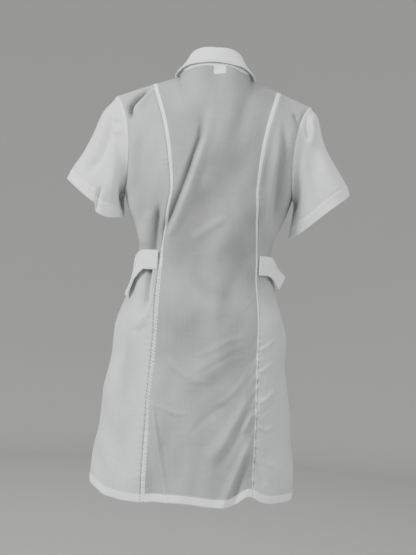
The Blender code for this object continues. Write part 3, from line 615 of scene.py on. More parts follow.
# ======================================================================================================
# The body's cloth: the same rule lays both of a seam's panels, so they meet along it
# ======================================================================================================
def body_cloth(surface, sign, across, height, side, tucked=False):
    """Points of the worn cloth, the way it faces, and how far each is from its seams and hem."""
    princess = hung_seam(height, side) if sign > 0 else front_princess(height)
    flat = surface(across, height)
    seam_at = surface(princess, height)
    edge_at = surface(np.zeros_like(across), height)
    normal = mirror_x(outward(surface, across, height, sign), side)
    points = mirror_x(flat, side)
    x, z = points[..., 0], points[..., 2]
    seam = np.linalg.norm(flat - seam_at, axis=-1)
    relief = folds = body_relief(points, across, height, sign)
    if sign > 0:
        seam = seam * 0.010 / allowance_width(x, z)
    relief = relief + seam_relief(seam, z, seam_pucker(x, z, sign), 0.010) * ease((2 - height) / 0.03)
    relief = relief + drawn_seam(x, z, seam, sign) * ease((1 - across) / 0.2)
    if sign > 0:
        relief = relief + blade_ease(x, z, seam, across > princess)
    hem = z - HEM_Z
    relief = relief + 0.0006 * ease((0.020 - hem) / 0.002) - 0.0008 * np.exp(-(((hem - 0.020) / 0.0015) ** 2))
    if sign < 0:
        edge = np.linalg.norm(flat - edge_at, axis=-1)
        relief = relief * ease(edge / 0.02 + 0.15) * np.where(edge < 0.034, 0.45 + 0.55 * edge / 0.034, 1.0)
    else:
        edge = np.full_like(z, FAR)
    points = points + normal * relief[..., None]
    if tucked:
        points = tuck(points)
    points = lift_hem(points, height, sign, across)
    inner_side = across <= princess + 1e-6
    marks = {"hem": hem, "edge": edge, "seam": np.where(inner_side, seam, FAR)}
    if sign > 0:
        roped = ease((-0.425 - z) / 0.01) * (0.4 + 0.6 * ease((z + 0.80) / 0.10)) * (x > 0)
        marks["rope"] = roped * inner_side
        marks["label"] = np.maximum(np.abs(x + 0.009) - 0.013, np.abs(z - 0.0095) - 0.0105)
        marks["neck"] = neck_distance(flat)
        # painted shade of the back: darker where a dark form would show through the sheer cloth
        clear = painted_lightness(x, z, across > princess)
    else:
        far = np.full_like(z, FAR)
        marks.update(rope=np.zeros_like(z), label=far, neck=far)
        # the fronts are painted one even middle shade
        clear = 0.62
    # painted shade and highlight: fold valleys are painted darker and ridges lighter, most above the hips
    marks["clear"] = np.clip(clear + folds * (34.0 - 20.0 * ease((-0.60 - z) / 0.12)), 0, 1)
    return points, normal, marks


def neck_distance(flat):
    """How far each place is from the back's neck seam."""
    near = np.full(flat.shape[:-1], FAR)
    t = np.linspace(0, 1, 60)
    for place_at, more in zip(back_neckline(t), 0.016 * ease((t - 0.45) / 0.5)):
        near = np.minimum(near, np.linalg.norm(flat - place_at, axis=-1) + more)
    return near


def painted_lightness(x, z, past):
    """Painted shade of the sheer cloth: 0 where it is painted darkest, as though lying close on a dark form under it,
    1 where it is painted lightest, as though hanging clear.
    """
    # painted shade: the side panels are painted darker above the waist, the wearer's right one most
    sideways = np.where(x > 0, 0.50, 0.24) + np.where(x > 0, 0.47, 0.68) * ease((-0.42 - z) / 0.12)
    # a band of painted shadow on the left side panel above the belt
    sideways = sideways - 0.21 * np.exp(-(((z + 0.31) / 0.06) ** 2)) * (x > 0)
    # a band painted lighter on the right side panel by the belt
    sideways = sideways + 0.18 * np.exp(-(((z + 0.37) / 0.05) ** 2)) * (x < 0)
    # painted shade of the middle panel: darker above the hips, lighter low down and towards the wearer's left below
    # the waist
    middle = 0.22 + 0.11 * ease((-0.58 - z) / 0.06) + 0.07 * ease((x - 0.02) / 0.08) * ease((-0.5 - z) / 0.1)
    # a band of painted shade across the middle panel below the belts
    middle = middle - 0.12 * np.exp(-(((z + 0.535) / 0.040) ** 2))
    return np.where(past, np.clip(sideways, 0, 1), middle)


def body_panel(name, surface, sign, side, inner, outer, columns, finish, tucked=False):
    """One cut panel between two seam lines, from the hem to the shoulder seam."""
    u, v = grid_places(columns, ROWS)
    height = heights(v)
    across = mix(inner(height), outer(height), u)
    points, normal, marks = body_cloth(surface, sign, across, height, side, tucked)
    return cut_piece(name, points, normal, marks, finish, sizes().cloth_thickness)


def between_points(at, run, points):
    """The places at given lengths along a line of points, whose own lengths are in run."""
    return np.stack([np.interp(at, run, points[:, k]) for k in range(3)], -1)


def sew(points, ways, size=0.00055):
    """A row of raised stitches along a line of points. ways give the direction that each lies on."""
    pitch = sizes().stitch_pitch
    length = 0.7 * pitch
    points = np.asarray(points, float)
    run = np.concatenate([[0], np.cumsum(np.linalg.norm(np.diff(points, axis=0), axis=1))])
    count = max(2, int(run[-1] / pitch))
    at = (np.arange(count) + 0.5) / count * run[-1]
    centre = between_points(at, run, points)
    normal = unit(between_points(at, run, ways))
    ahead, behind = np.minimum(at + 1e-3, run[-1]), np.maximum(at - 1e-3, 0)
    along = unit(between_points(ahead, run, points) - between_points(behind, run, points))
    across = unit(np.cross(normal, along))
    return [(c, a, b, n, length / 2, size) for c, a, b, n in zip(centre, along, across, normal)]


def stitch_mesh(name, rows, finish):
    """All of a piece's stitches in one mesh. Each is a small rounded bead of thread, a few dozen faces."""
    bead = bmesh.new()
    bmesh.ops.create_uvsphere(bead, u_segments=5, v_segments=4, radius=1.0)
    seed = bpy.data.meshes.new(name + "_bead")
    bead.to_mesh(seed)
    bead.free()
    bm = bmesh.new()
    shape = np.array([v.co for v in seed.vertices])
    for _ in rows:
        bm.from_mesh(seed)
    mesh = bpy.data.meshes.new(name)
    bm.to_mesh(mesh)
    bm.free()
    bpy.data.meshes.remove(seed)
    beads = np.concatenate([
        c + shape[:, :1] * half * a + shape[:, 1:2] * thick * b + shape[:, 2:] * thick * 0.75 * n
        for c, a, b, n, half, thick in rows
    ])
    mesh.vertices.foreach_set("co", beads.astype(np.float32).ravel())
    mesh.shade_smooth()
    mesh.materials.append(finish)
    piece = bpy.data.objects.new(name, mesh)
    bpy.context.scene.collection.objects.link(piece)
    return piece


def sew_along(cloth_at, lines, by):
    """Rows of stitches along lines of (across, up) places on a piece, standing a little off it."""
    rows = []
    for across, up in lines:
        points, normal = cloth_at(across[None], up[None])
        rows += sew((points + normal * by)[0], normal[0])
    return rows


def blend_front(piece):
    """Bake a front piece's placing into its mesh."""
    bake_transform(piece)


# ======================================================================================================
# Finishes
# ======================================================================================================
def node(tree, kind, sockets=(), **settings):
    """A shader node. Each socket takes a value, or is joined to another node's output."""
    made = tree.nodes.new(kind)
    for key, value in settings.items():
        setattr(made, key, value)
    for key, value in dict(sockets).items():
        if isinstance(value, bpy.types.NodeSocket):
            tree.links.new(value, made.inputs[key])
        else:
            made.inputs[key].default_value = value
    return made


def calculate(tree, operation, *values):
    return node(tree, "ShaderNodeMath", dict(enumerate(values)), operation=operation).outputs[0]


def attribute(tree, key):
    return node(tree, "ShaderNodeAttribute", attribute_name=key).outputs["Fac"]


def noise(tree, where, **sockets):
    return node(tree, "ShaderNodeTexNoise", {"Vector": where, **sockets}).outputs["Fac"]


def spread(tree, value, low, high):
    """A value from 0 to 1, spread from low to high."""
    return node(tree, "ShaderNodeMapRange", {"Value": value, "To Min": low, "To Max": high}).outputs[0]


def between(tree, share, first, second):
    """A colour between two others."""
    return node(tree, "ShaderNodeMix", {"Factor": share, 6: first, 7: second}, data_type="RGBA").outputs[2]


def bump(tree, height, distance, strength, **under):
    """The normal of a bump, over the one that is under it."""
    sockets = {"Height": height, "Distance": distance, "Strength": strength, **under}
    return node(tree, "ShaderNodeBump", sockets).outputs[0]


def thread_height(tree, coordinates, pitch):
    """Crossing threads, as a height from -1 to 1."""
    split = node(tree, "ShaderNodeSeparateXYZ", {0: coordinates})
    warp, weft = (
        calculate(tree, "SINE", calculate(tree, "MULTIPLY", split.outputs[axis], 2 * pi / pitch)) for axis in "XY"
    )
    return calculate(tree, "MULTIPLY", warp, weft)


def within(tree, key, width):
    """1 where a mark of the cloth is below a width, and 0 beyond it, with a soft edge."""
    soft = 0.0006
    sockets = {"Value": attribute(tree, key), "From Min": width + soft, "From Max": width - soft}
    return node(tree, "ShaderNodeMapRange", sockets, interpolation_type="SMOOTHSTEP").outputs["Result"]


def most(tree, values):
    """The greatest of several outputs."""
    found = values[0]
    for other in values[1:]:
        found = calculate(tree, "MAXIMUM", found, other)
    return found


def new_finish(name, sockets):
    """A new material with its shader's sockets set."""
    made = bpy.data.materials.new(name)
    made.use_nodes = True
    shader = made.node_tree.nodes["Principled BSDF"]
    for key, value in sockets.items():
        shader.inputs[key].default_value = value
    return made, made.node_tree, shader


def cloth_finish(name, single, double, bands=(), pitch=0.0007, threads=0.25, clear=None, rumple=0.0045, rope=False):
    """Plain-woven cloth. bands are (mark, width) pairs of the edges where it lies in more than one layer. With clear,
    the cloth is painted with shade from single, its darkest colour, to clear, its lightest.
    """
    made, tree, shader = new_finish(name, {
        "Roughness": 0.88, "Specular IOR Level": 0.25, "Sheen Weight": 0.12, "Sheen Roughness": 0.5,
    })
    uv = node(tree, "ShaderNodeUVMap", uv_map="cloth").outputs[0]
    drawn_out = node(tree, "ShaderNodeMapping", {"Vector": uv, "Scale": (300.0, 7.0, 1.0)}).outputs[0]
    slub = noise(tree, drawn_out, Scale=1.0, Detail=2.0, Roughness=0.55)
    cloud = noise(tree, uv, Scale=9.0, Detail=3.0, Roughness=0.5)
    slanted = node(tree, "ShaderNodeMapping", {
        "Vector": uv, "Rotation": (0.0, 0.0, 0.7), "Scale": (0.6, 1.2, 1.0),
    }).outputs[0]
    handled = noise(tree, slanted, Scale=22.0, Detail=3.0, Roughness=0.5, Distortion=0.8)
    ground = (*single, 1)
    # painted shade: the clear mark mixes the ground from its painted-dark colour to the clear one
    if clear:
        ground = between(tree, attribute(tree, "clear"), ground, (*clear, 1))
    doubled = most(tree, [within(tree, key, width) for key, width in bands]) if bands else 1.0
    layers = between(tree, doubled, ground, (*double, 1))
    tone = calculate(tree, "MULTIPLY", spread(tree, slub, 0.90, 1.07), spread(tree, cloud, 0.965, 1.03))
    shade = node(tree, "ShaderNodeVectorMath", {0: layers, "Scale": tone}, operation="SCALE").outputs[0]
    tree.links.new(shade, shader.inputs["Base Color"])
    normal = bump(tree, thread_height(tree, uv, pitch), 0.0002, threads)
    normal = bump(tree, slub, 0.0005, 0.35, Normal=normal)
    normal = bump(tree, handled, rumple, 0.5, Normal=normal)
    if rope:
        normal = roped_bump(tree, normal)
    tree.links.new(normal, shader.inputs["Normal"])
    return made


def roped_bump(tree, under):
    """Slanting ridges on a seam allowance that was drawn up as it was sewn."""
    ridge_pitch = 0.0072
    spot = node(tree, "ShaderNodeTexCoord").outputs["Object"]
    level = node(tree, "ShaderNodeSeparateXYZ", {0: spot}).outputs["Z"]
    slant = calculate(tree, "MULTIPLY_ADD", attribute(tree, "seam"), 0.55, level)
    wave = calculate(tree, "SINE", calculate(tree, "MULTIPLY", slant, 2 * pi / ridge_pitch))
    strip = calculate(tree, "MULTIPLY", within(tree, "seam", 0.0095), attribute(tree, "rope"))
    return bump(tree, calculate(tree, "MULTIPLY", wave, strip), 0.0016, 1.0, Normal=under)


def flecked_finish(name, colour, darker, fleck, sockets):
    """A colour with darker flecks: twisted thread, or moulded, slightly pearly plastic."""
    made, tree, shader = new_finish(name, sockets)
    flecks = noise(tree, node(tree, "ShaderNodeTexCoord").outputs["Object"], **fleck)
    toned = between(tree, flecks, (*[c * darker for c in colour], 1), (*colour, 1))
    tree.links.new(toned, shader.inputs["Base Color"])
    return made


FINISHES = {}


def finish_of(kind):
    """The coat's finishes, made once from the panel's colours."""
    if kind in FINISHES:
        return FINISHES[kind]
    colours = bpy.context.scene.lab_coat_colours
    # one and free are the darkest and lightest colours of the body cloth's painted shade
    one, two, free = (tuple(c) for c in (colours.shaded_single_layer, colours.double_layer, colours.lit_clear_layer))
    wide = sizes()
    seams = (("seam", wide.seam_allowance), ("hem", wide.hem_width))
    made = {
        "back": lambda: cloth_finish(
            "poplin_back", one, two, seams + (("label", 0.0), ("neck", 0.013)), clear=free, rope=True,
        ),
        "front": lambda: cloth_finish("poplin_front", one, two, seams + (("edge", 0.036),), clear=free),
        "doubled": lambda: cloth_finish("poplin_doubled", one, two, rumple=0.002),
        "sleeve": lambda: cloth_finish(
            "poplin_sleeve", tuple(colours.sleeve_layer), two, (("hem", wide.cuff_width), ("cap", 0.008)),
        ),
        "pocket": lambda: cloth_finish(
            "poplin_pocket", two, tuple(min(1, c * 1.04) for c in two), (("hem", POCKET_HEM),),
        ),
        "facing": lambda: cloth_finish("poplin_facing", two, two),
        "label": lambda: cloth_finish("satin_label", two, tuple(colours.label), pitch=0.0004, threads=0.1),
        "thread": lambda: flecked_finish(
            "sewing_thread", colours.thread, 0.93, {"Scale": 900.0, "Detail": 1.0},
            {"Roughness": 0.6, "Sheen Weight": 0.2},
        ),
        "button": lambda: flecked_finish(
            "moulded_button", colours.button, 0.88, {"Scale": 160.0, "Detail": 3.0, "Distortion": 1.2},
            {"Roughness": 0.28, "Coat Weight": 0.4, "Coat Roughness": 0.15},
        ),
        "floor": lambda: new_finish("pale_floor", {
            "Base Color": (*colours.floor, 1), "Roughness": 0.95, "Specular IOR Level": 0.1,
        })[0],
    }[kind]()
    FINISHES[kind] = made
    return made


# ======================================================================================================
# Back
# ======================================================================================================
def line_on(surface, sign, across, height, side, tucked=False):
    """A sewn line on the body's cloth: its points, just proud of the outer face, and the way it faces."""
    across, height = np.broadcast_arrays(np.asarray(across, float), np.asarray(height, float))
    side = np.broadcast_to(side, across.shape)[None]
    points, normal, _ = body_cloth(surface, sign, across[None], height[None], side, tucked)
    return (points + normal * 0.0007)[0], normal[0]


def make_back():
    cloth = finish_of("back")
    u, v = grid_places(96, ROWS)
    height = heights(v)
    side = np.where(u >= 0.5, 1.0, -1.0)
    across = np.abs(2 * u - 1) * hung_seam(height, side)
    points, normal, marks = body_cloth(back, 1, across, height, side)
    centre = cut_piece("back_center", points, normal, marks, cloth, sizes().cloth_thickness)
    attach(centre, "coat")
    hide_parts("back_center_panel")
    for word, way in (("left", 1), ("right", -1)):
        panel = body_panel(
            "back_side_" + word, back, 1, way, lambda h, way=way: hung_seam(h, way), np.ones_like, 50, cloth,
        )
        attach(panel, "coat")
        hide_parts("back_side_panel_" + word)
    run = np.linspace(-1, 1, 400)
    line, facing = line_on(back, 1, np.abs(run), height_of(HEM_STITCH_Z), np.where(run >= 0, 1.0, -1.0))
    stitches = stitch_mesh("back_hem_stitches", sew(line, facing), finish_of("thread"))
    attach(stitches, "coat")


# ======================================================================================================
# Fronts and lapels
# ======================================================================================================
def front_edge_line(low, high, inset, side, tucked):
    """A line along a front's edge, a fixed way in from it."""
    height = np.linspace(low, high, 260)
    step = np.linalg.norm(front(np.full_like(height, 0.05), height) - front(np.zeros_like(height), height), axis=-1)
    return line_on(front, -1, 0.05 * inset / step, height, side, tucked)


def lapel_place(across, up, side):
    """The lapel lies on the chest. It rolls over at its fold, and is wider towards the notch."""
    low = BREAK_UP
    while front_edge(low)[0] < 0.002:
        low += 0.002
    high = 1 - 0.36 * (1 - BREAK_UP) - 0.008
    height = 1 + mix(low, high, up)
    wide = 0.37 * up ** 0.8 + 0.015
    notch = 0.012 / -UNDERARM_Z * across * up ** 6
    share = wide * across
    reach = height - notch
    base = front(share, reach)
    normal = outward(front, np.maximum(share, 1e-3), reach, -1)
    stand = 0.0040 * ease(across / 0.10) ** 0.6 + 0.0035 * np.sin(pi * np.clip(across * 1.1, 0, 1)) * up
    wave = 0.0012 * np.sin(across * 7 + up * 9) * ease(across / 0.3)
    points = mirror_x(base + normal * (stand + wave)[..., None], side)
    if side > 0:
        points = tuck(points)
    return points, mirror_x(normal, side)


def make_fronts():
    cloth = finish_of("front")
    for word, side in (("left", 1), ("right", -1)):
        tucked = side > 0
        panel = body_panel("front_side_" + word, front, -1, side, front_princess, np.ones_like, 50, cloth)
        blend_front(panel)
        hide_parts("front_side_panel_" + word)
        panel = body_panel("front_" + word, front, -1, side, np.zeros_like, front_princess, 56, cloth, tucked)
        blend_front(panel)
        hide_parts("front_panel_" + word, "front_band_" + word, "front_chest_" + word)
        u, v = grid_places(30, 60)
        points, normal = lapel_place(u, v, side)
        lapel = cut_piece(
            "lapel_cloth_" + word, points, normal, no_hem(u), finish_of("doubled"), 0.0016,
        )
        blend_front(lapel)
        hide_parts("lapel_" + word)
        rows = []
        for inset in (0.0055, 0.034):
            rows += sew(*front_edge_line(0.004, 1 + BREAK_UP - 0.02, inset, side, tucked))
        rows += sew(*line_on(front, -1, np.linspace(0, 1, 260), height_of(HEM_STITCH_Z), side, tucked))
        u = np.linspace(0, 1, 120)
        lines = ((np.full_like(u, 0.94), u), (u * 0.94, np.full_like(u, 0.975)))
        rows += sew_along(lambda a, b, side=side: lapel_place(a, b, side), lines, 0.0011)
        blend_front(stitch_mesh("front_stitches_" + word, rows, finish_of("thread")))


# ======================================================================================================
# Collar
# ======================================================================================================
NECK_TURN, COLLAR_END, COLLAR_WIDE = 0.55, 0.36, 0.34
STAND_UP, STAND_IN, END_STAND = 0.0245, 0.015, 0.006
FALL_PAST, FALL_DROP, COLLAR_ROLL, COLLAR_LIFT = 0.0090, 0.004, 0.0022, 0.0012


def collar_section(along):
    """What the collar's cross-section needs at each place from the centre back (0) to its front edge (1)."""
    forward = np.clip((along - NECK_TURN) / (1 - NECK_TURN), 0, 1)
    bend = np.minimum(along / NECK_TURN, 1.0) * pi / 2
    reach = 1 - COLLAR_END * (1 - BREAK_UP) * forward
    height = 1 + reach
    zero = np.zeros_like(along)
    away = place(np.sin(bend), np.cos(bend), 0.0)
    across_chest = unit(front(zero + 0.06, height) - front(zero, height))
    facing = outward(front, zero + 0.02, height, -1)
    away = unit(mix(away, across_chest, ease(forward * 1.5)))
    round_back = (forward <= 0)[..., None]
    seam = np.where(round_back, back_neckline(np.clip(along / NECK_TURN, 0, 1)), front_edge(reach))
    upright = np.zeros_like(away)
    upright[..., 2] = 1.0
    tall = STAND_UP + 0.008 * np.sin(bend)
    lean = STAND_IN * (1 + 0.55 * np.sin(bend) ** 2)
    stand = mix(upright * tall[..., None] - away * lean[..., None], facing * END_STAND, ease(forward))
    low = seam + mix(upright * COLLAR_LIFT, facing * (COLLAR_LIFT + 0.0012), ease(forward * 3))
    high = low + stand
    edge = seam + away * FALL_PAST - upright * ((FALL_DROP + 0.0020) * np.cos(bend))[..., None]
    return low, high, high + away * 2 * COLLAR_ROLL, edge, away, forward, height, bend


def collar_half(along, round_it):
    """A place on the collar. round_it: 0 to 0.3 up the stand, to 0.6 over the fold, to 1 down the fall."""
    low, high, start, edge, away, forward, height, bend = collar_section(along)
    standing = mix(low, high, np.clip(round_it / 0.3, 0, 1))
    turn = pi * np.clip((round_it - 0.3) / 0.3, 0, 1)
    up = unit(high - low)
    rolled = (high + start) / 2 - away * (COLLAR_ROLL * np.cos(turn))[..., None]
    rolled = rolled + up * (COLLAR_ROLL * np.sin(turn))[..., None]
    down = np.clip((round_it - 0.6) / 0.4, 0, 1)
    hanging = mix(start, edge, down) + away * ((0.003 - 0.006 * np.sin(bend)) * np.sin(pi * down))[..., None]
    stand_off = 0.0012 + mix(0.0016, COLLAR_LIFT + END_STAND, (1 - down) ** 1.6)
    share = mix(0.055, COLLAR_WIDE, forward) * down + 0.018
    reach = np.minimum(height + 0.03 * down * forward, 2.0)
    lying = front(share, reach) + outward(front, share, reach, -1) * stand_off[..., None]
    fall = mix(hanging, lying, ease(forward * 1.25))
    picked = np.where((round_it < 0.6)[..., None], rolled, fall)
    return np.where((round_it < 0.3)[..., None], standing, picked)


def collar_layer(along, round_it, depth, side):
    """A layer of the collar, and the way it faces. The layers close up at the collar's edges."""
    step = 3e-3
    base = collar_half(along, round_it)
    ahead, behind = np.minimum(along + step, 1), np.maximum(along - step, 0)
    lengthways = collar_half(ahead, round_it) - collar_half(behind, round_it)
    around = collar_half(along, np.minimum(round_it + step, 1)) - collar_half(along, np.maximum(round_it - step, 0))
    normal = unit(np.cross(lengthways, around))
    closing = ease((1 - round_it) / 0.06) * 0.6 + 0.4
    wave = 0.0008 * np.sin(along * 23 + 2 * round_it) * ease((round_it - 0.55) / 0.3)
    points = base + normal * (depth * closing + wave)[..., None]
    return mirror_x(points, side), mirror_x(normal, side)


def collar_part(word, u, v, depth):
    """The collar round the back of the neck, which stays with the coat, and its fronts."""
    if word == "back":
        points, normal = collar_layer(np.abs(2 * u - 1) * NECK_TURN, v, depth, 1)
        turn = np.where(u < 0.5, -1.0, 1.0)
        return mirror_x(points, turn), mirror_x(normal, turn)
    return collar_layer(mix(NECK_TURN, 1, u), v, depth, 1 if word == "left" else -1)


def make_collar():
    layers = (
        ("under_collar_", 0.0, ("under_collar",)), ("upper_collar_", 0.0017, ("upper_collar", "collar_interlining")),
    )
    for word, side in (("back", 0), ("left", 1), ("right", -1)):
        pieces = []
        for name, depth, stands_for in layers:
            u, v = grid_places(54 if side else 80, 44)
            points, normal = collar_part(word, u, v, depth)
            part = cut_piece(
                name + word, points, normal, no_hem(u), finish_of("doubled"), 0.0012,
            )
            settle(part)
            part.data.set_sharp_from_angle(angle=1.0)
            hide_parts(*stands_for)
            pieces.append(part)
        u = np.linspace(0, 1, 200)
        lines = ((u * (0.965 if side else 1), np.full_like(u, 0.955)), (np.full_like(u, 0.965), 0.62 + 0.335 * u))
        rows = sew_along(lambda a, b, word=word: collar_part(word, a, b, 0.0026), lines[:2 if side else 1], 0.0)
        pieces.append(stitch_mesh("collar_stitches_" + word, rows, finish_of("thread")))
        for piece in pieces:
            if side:
                blend_front(piece)
            else:
                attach(piece, "coat")


def inside_neck(u, v, half, top, drop, depth, shift):
    """A strip inside the back of the neck, below its seam."""
    x = half * (2 * u - 1) + shift
    height = top - (1 - v) * drop
    share = np.abs(x) / 0.5
    for _ in range(14):
        share = share * np.where(np.abs(x) > 1e-6, np.abs(x) / np.maximum(back(share, height)[..., 0], 1e-6), 1)
        share = np.clip(share, 1e-5, BACK_SHARE)
    side = np.where(x >= 0, 1.0, -1.0)
    normal = outward(back, share, height, 1)
    return mirror_x(back(share, height) - normal * depth, side), mirror_x(normal, side)


def make_neck_trim():
    rows = []
    run = np.linspace(0.02, 0.98, 120)[None]
    for name, strip, columns, finish, cloth, slot, node_name, proud, seam_up in (
        # strip: half width, top and drop as heights, depth under the cloth, shift
        ("neck_tape_cloth", (0.058, 1.992, 0.036, 0.0022, 0.0), (60, 8), "facing", 0.0007, "poplin", "neck_tape",
         0.0028, 0.12),
        ("blank_label", (0.0125, 1.984, 0.062, 0.0036, -0.010), (16, 14), "label", 0.0004, "label", "size_label",
         0.0041, 0.93),
    ):
        half, top, drop, depth, shift = strip
        u, v = grid_places(*columns)
        points, normal = inside_neck(u, v, half, top, drop, depth, shift)
        piece = cut_piece(name, points, -normal, no_hem(u), finish_of(finish), cloth)
        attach(piece, "coat")
        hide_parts(node_name)
        points, normal = inside_neck(run, np.full_like(run, seam_up), half, top, drop, proud, shift)
        rows += sew(points[0], -normal[0])
    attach(stitch_mesh("neck_stitches", rows, finish_of("thread")), "coat")


# ======================================================================================================
# Sleeves
# ======================================================================================================
def sleeve_cloth(across, along, side):
    """across: 0 and 1 under the arm, 0.5 at the shoulder. along: 0 at the armhole, 1 at the hem."""
    turn = across * 2 * pi
    rise = (1 - np.cos(turn)) / 2
    around = 1 - np.abs(2 * across - 1)
    start = armhole(around, np.where(across > 0.5, 1, -1))
    top = armhole(np.array(1.0), 1)
    outer, inner = (np.array([x, 0, z]) for x, z in (SLEEVE_OUTER, SLEEVE_INNER))
    opened = ease(along / 0.25)
    start[..., 0] += (0.0022 + 0.0035 * (1 - rise)) * opened
    start[..., 1] *= 1 + 0.12 * (1 - rise) * opened
    end = mix(inner, outer, rise[..., None]) - place(0.0, SLEEVE_DEPTH * np.sin(turn), 0.0)
    over_x = curve(((0.0, top[0]), (0.20, 0.247), (0.58, 0.284), (1.0, outer[0])), along)
    over_z = curve(((0.0, top[2]), (0.20, -0.084), (0.58, -0.160), (1.0, outer[2])), along)
    straight = mix(top, outer, along[..., None])
    bulge = place(over_x - straight[..., 0], 0.0, over_z - straight[..., 2])
    gusset = 0.012 * (1 - rise) ** 2 * np.sin(pi * along ** 0.5)
    points = mix(start, end, along) + bulge * (rise ** 2)[..., None]
    points[..., 0] += gusset
    return mirror_x(points, side)


def worn_sleeve(across, along, side):
    """Points of the worn sleeve, the way it faces, and how far each is from its hem and the armhole."""
    step = 4e-3
    base = sleeve_cloth(across, along, side)
    ahead, behind = np.minimum(along + step, 1), np.maximum(along - step, 0)
    lengthways = sleeve_cloth(across, ahead, side) - sleeve_cloth(across, behind, side)
    around = sleeve_cloth(across + step, along, side) - sleeve_cloth(across - step, along, side)
    normal = unit(np.cross(around, lengthways)) * -side
    x, z = base[..., 0], base[..., 2]
    table = SLEEVE_FOLDS_LEFT if side > 0 else SLEEVE_FOLDS_RIGHT
    at_back = ease((normal[..., 1] + 0.15) / 0.5)
    fade = ease(along / 0.14)
    hem = np.linalg.norm(base - sleeve_cloth(across, np.ones_like(along), side), axis=-1)
    cap = np.linalg.norm(base - sleeve_cloth(across, np.zeros_like(along), side), axis=-1)
    ripple = 0.8 * creases(x + 0.3 * base[..., 1], z, 21 if side > 0 else 22)
    relief = fade * (fold_relief(x, z, table) * at_back + ripple)
    relief = relief - 0.0010 * np.exp(-((cap / 0.0025) ** 2)) + 0.0009 * ease((0.009 - cap) / 0.003)
    cuff = sizes().cuff_width
    relief = relief + 0.0005 * ease((cuff - hem) / 0.002) - 0.0008 * np.exp(-(((hem - cuff) / 0.0015) ** 2))
    points = base + normal * relief[..., None]
    rise = (1 - np.cos(across * 2 * pi)) / 2
    under = ease(along / 0.75) * (1 - rise) ** 3
    bow = rise ** 2 * np.sin(pi * np.clip(along / 0.9, 0, 1))
    if side > 0:
        low = ease((along - 0.55) / 0.45) * at_back
        points[..., 2] -= low * 0.014 * ease((0.252 - x) / 0.008) * ease((x - 0.200) / 0.030)
        points[..., 0] += low * 0.006 * ease((0.252 - x) / 0.008) * ease((x - 0.220) / 0.012)
        points[..., 0] -= 0.018 * under + 0.010 * bow
        points[..., 2] += 0.020 * under * ease((along - 0.5) / 0.5)
    else:
        points[..., 0] += 0.018 * under + 0.017 * bow
        points[..., 2] -= 0.018 * ease((along - 0.5) / 0.5) * np.exp(-(((x + 0.205) / 0.035) ** 2))
        points[..., 2] += 0.012 * under * ease((along - 0.6) / 0.4)
    return points, normal, {"hem": hem, "cap": cap}


def make_sleeves():
    for word, side in (("left", 1), ("right", -1)):
        u, v = grid_places(140, 84)
        points, normal, marks = worn_sleeve(u, 1 - v, side)
        points[:, -1] = points[:, 0]
        sleeve = cut_piece("sleeve_cloth_" + word, points, normal, marks, finish_of("sleeve"), 0.0008, closed=True)
        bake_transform(sleeve)
        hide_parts("sleeve_" + word)
        lines = ((np.linspace(0, 1, 300), np.full(300, 0.885)),)
        rows = sew_along(lambda a, b, side=side: worn_sleeve(a, b, side)[:2], lines, 0.0007)
        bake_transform(stitch_mesh("sleeve_stitches_" + word, rows, finish_of("thread")))


# ======================================================================================================
# Half belts
# ======================================================================================================
BELTS = {
    # side, and along the belt: how far it turns round the body, falls and twists, in degrees
    "left": (1, ((0.0, 0), (0.25, 4), (0.40, 16), (0.60, 18), (1.0, 8)),
             ((0.0, 0), (0.27, 2), (0.36, 44), (0.52, 62), (1.0, 64)), ((0.0, 0), (0.30, 5), (0.55, 26), (1.0, 52))),
    "right": (-1, ((0.0, 0), (0.25, 2), (0.45, 10), (0.65, 4), (1.0, -6)),
              ((0.0, 0), (0.28, 2), (0.42, 26), (0.60, 42), (1.0, 44)), ((0.0, 0), (0.32, 4), (0.55, 16), (1.0, 24))),
}


def belt_cloth(word, across, up):
    """across: 0 where the belt is sewn into the seam, 1 at its loose end. up: 0 at its lower edge."""
    side, turns, falls, twists = BELTS[word]
    length = sizes().belt_length_left if side > 0 else sizes().belt_length_right
    height = np.array(height_of(BELT_Z))
    share = hung_seam(height, side)
    out = outward(back, share, height, 1)
    step = back(share + 0.02, height) - back(share, height)
    s = np.linspace(0, 1, 240)
    heading = atan2(step[1], step[0]) - np.radians(curve(turns, s))
    fall, twist = np.radians(curve(falls, s)), np.radians(curve(twists, s))
    ahead = place(np.cos(heading) * np.cos(fall), np.sin(heading) * np.cos(fall), -np.sin(fall))
    out_of_it = place(-np.sin(heading), np.cos(heading), 0.0)
    upright = np.cross(ahead, out_of_it)
    upright = upright * np.sign(upright[:, 2:])
    width = upright * np.cos(twist)[:, None] - out_of_it * np.sin(twist)[:, None]
    start = back(share, height) + out * 0.0052 + ahead[0] * 0.001
    path = start + np.concatenate([np.zeros((1, 3)), np.cumsum(ahead[:-1] * length / (len(s) - 1), axis=0)])
    middle, upwards, onwards = (between_points(across, s, line) for line in (path, width, ahead))
    facing = unit(np.cross(upwards, onwards))
    facing = facing * np.where(np.cross(width[0], ahead[0])[1] < 0, -1.0, 1.0)
    curl = 0.0022 * np.sin(pi * up) * ease(across / 0.3) + 0.0012 * np.sin(across * 11 + up * 3) * ease(across / 0.4)
    points = middle + upwards * ((up - 0.5) * sizes().belt_width)[..., None] + facing * curl[..., None]
    return mirror_x(points, side), mirror_x(facing, side)


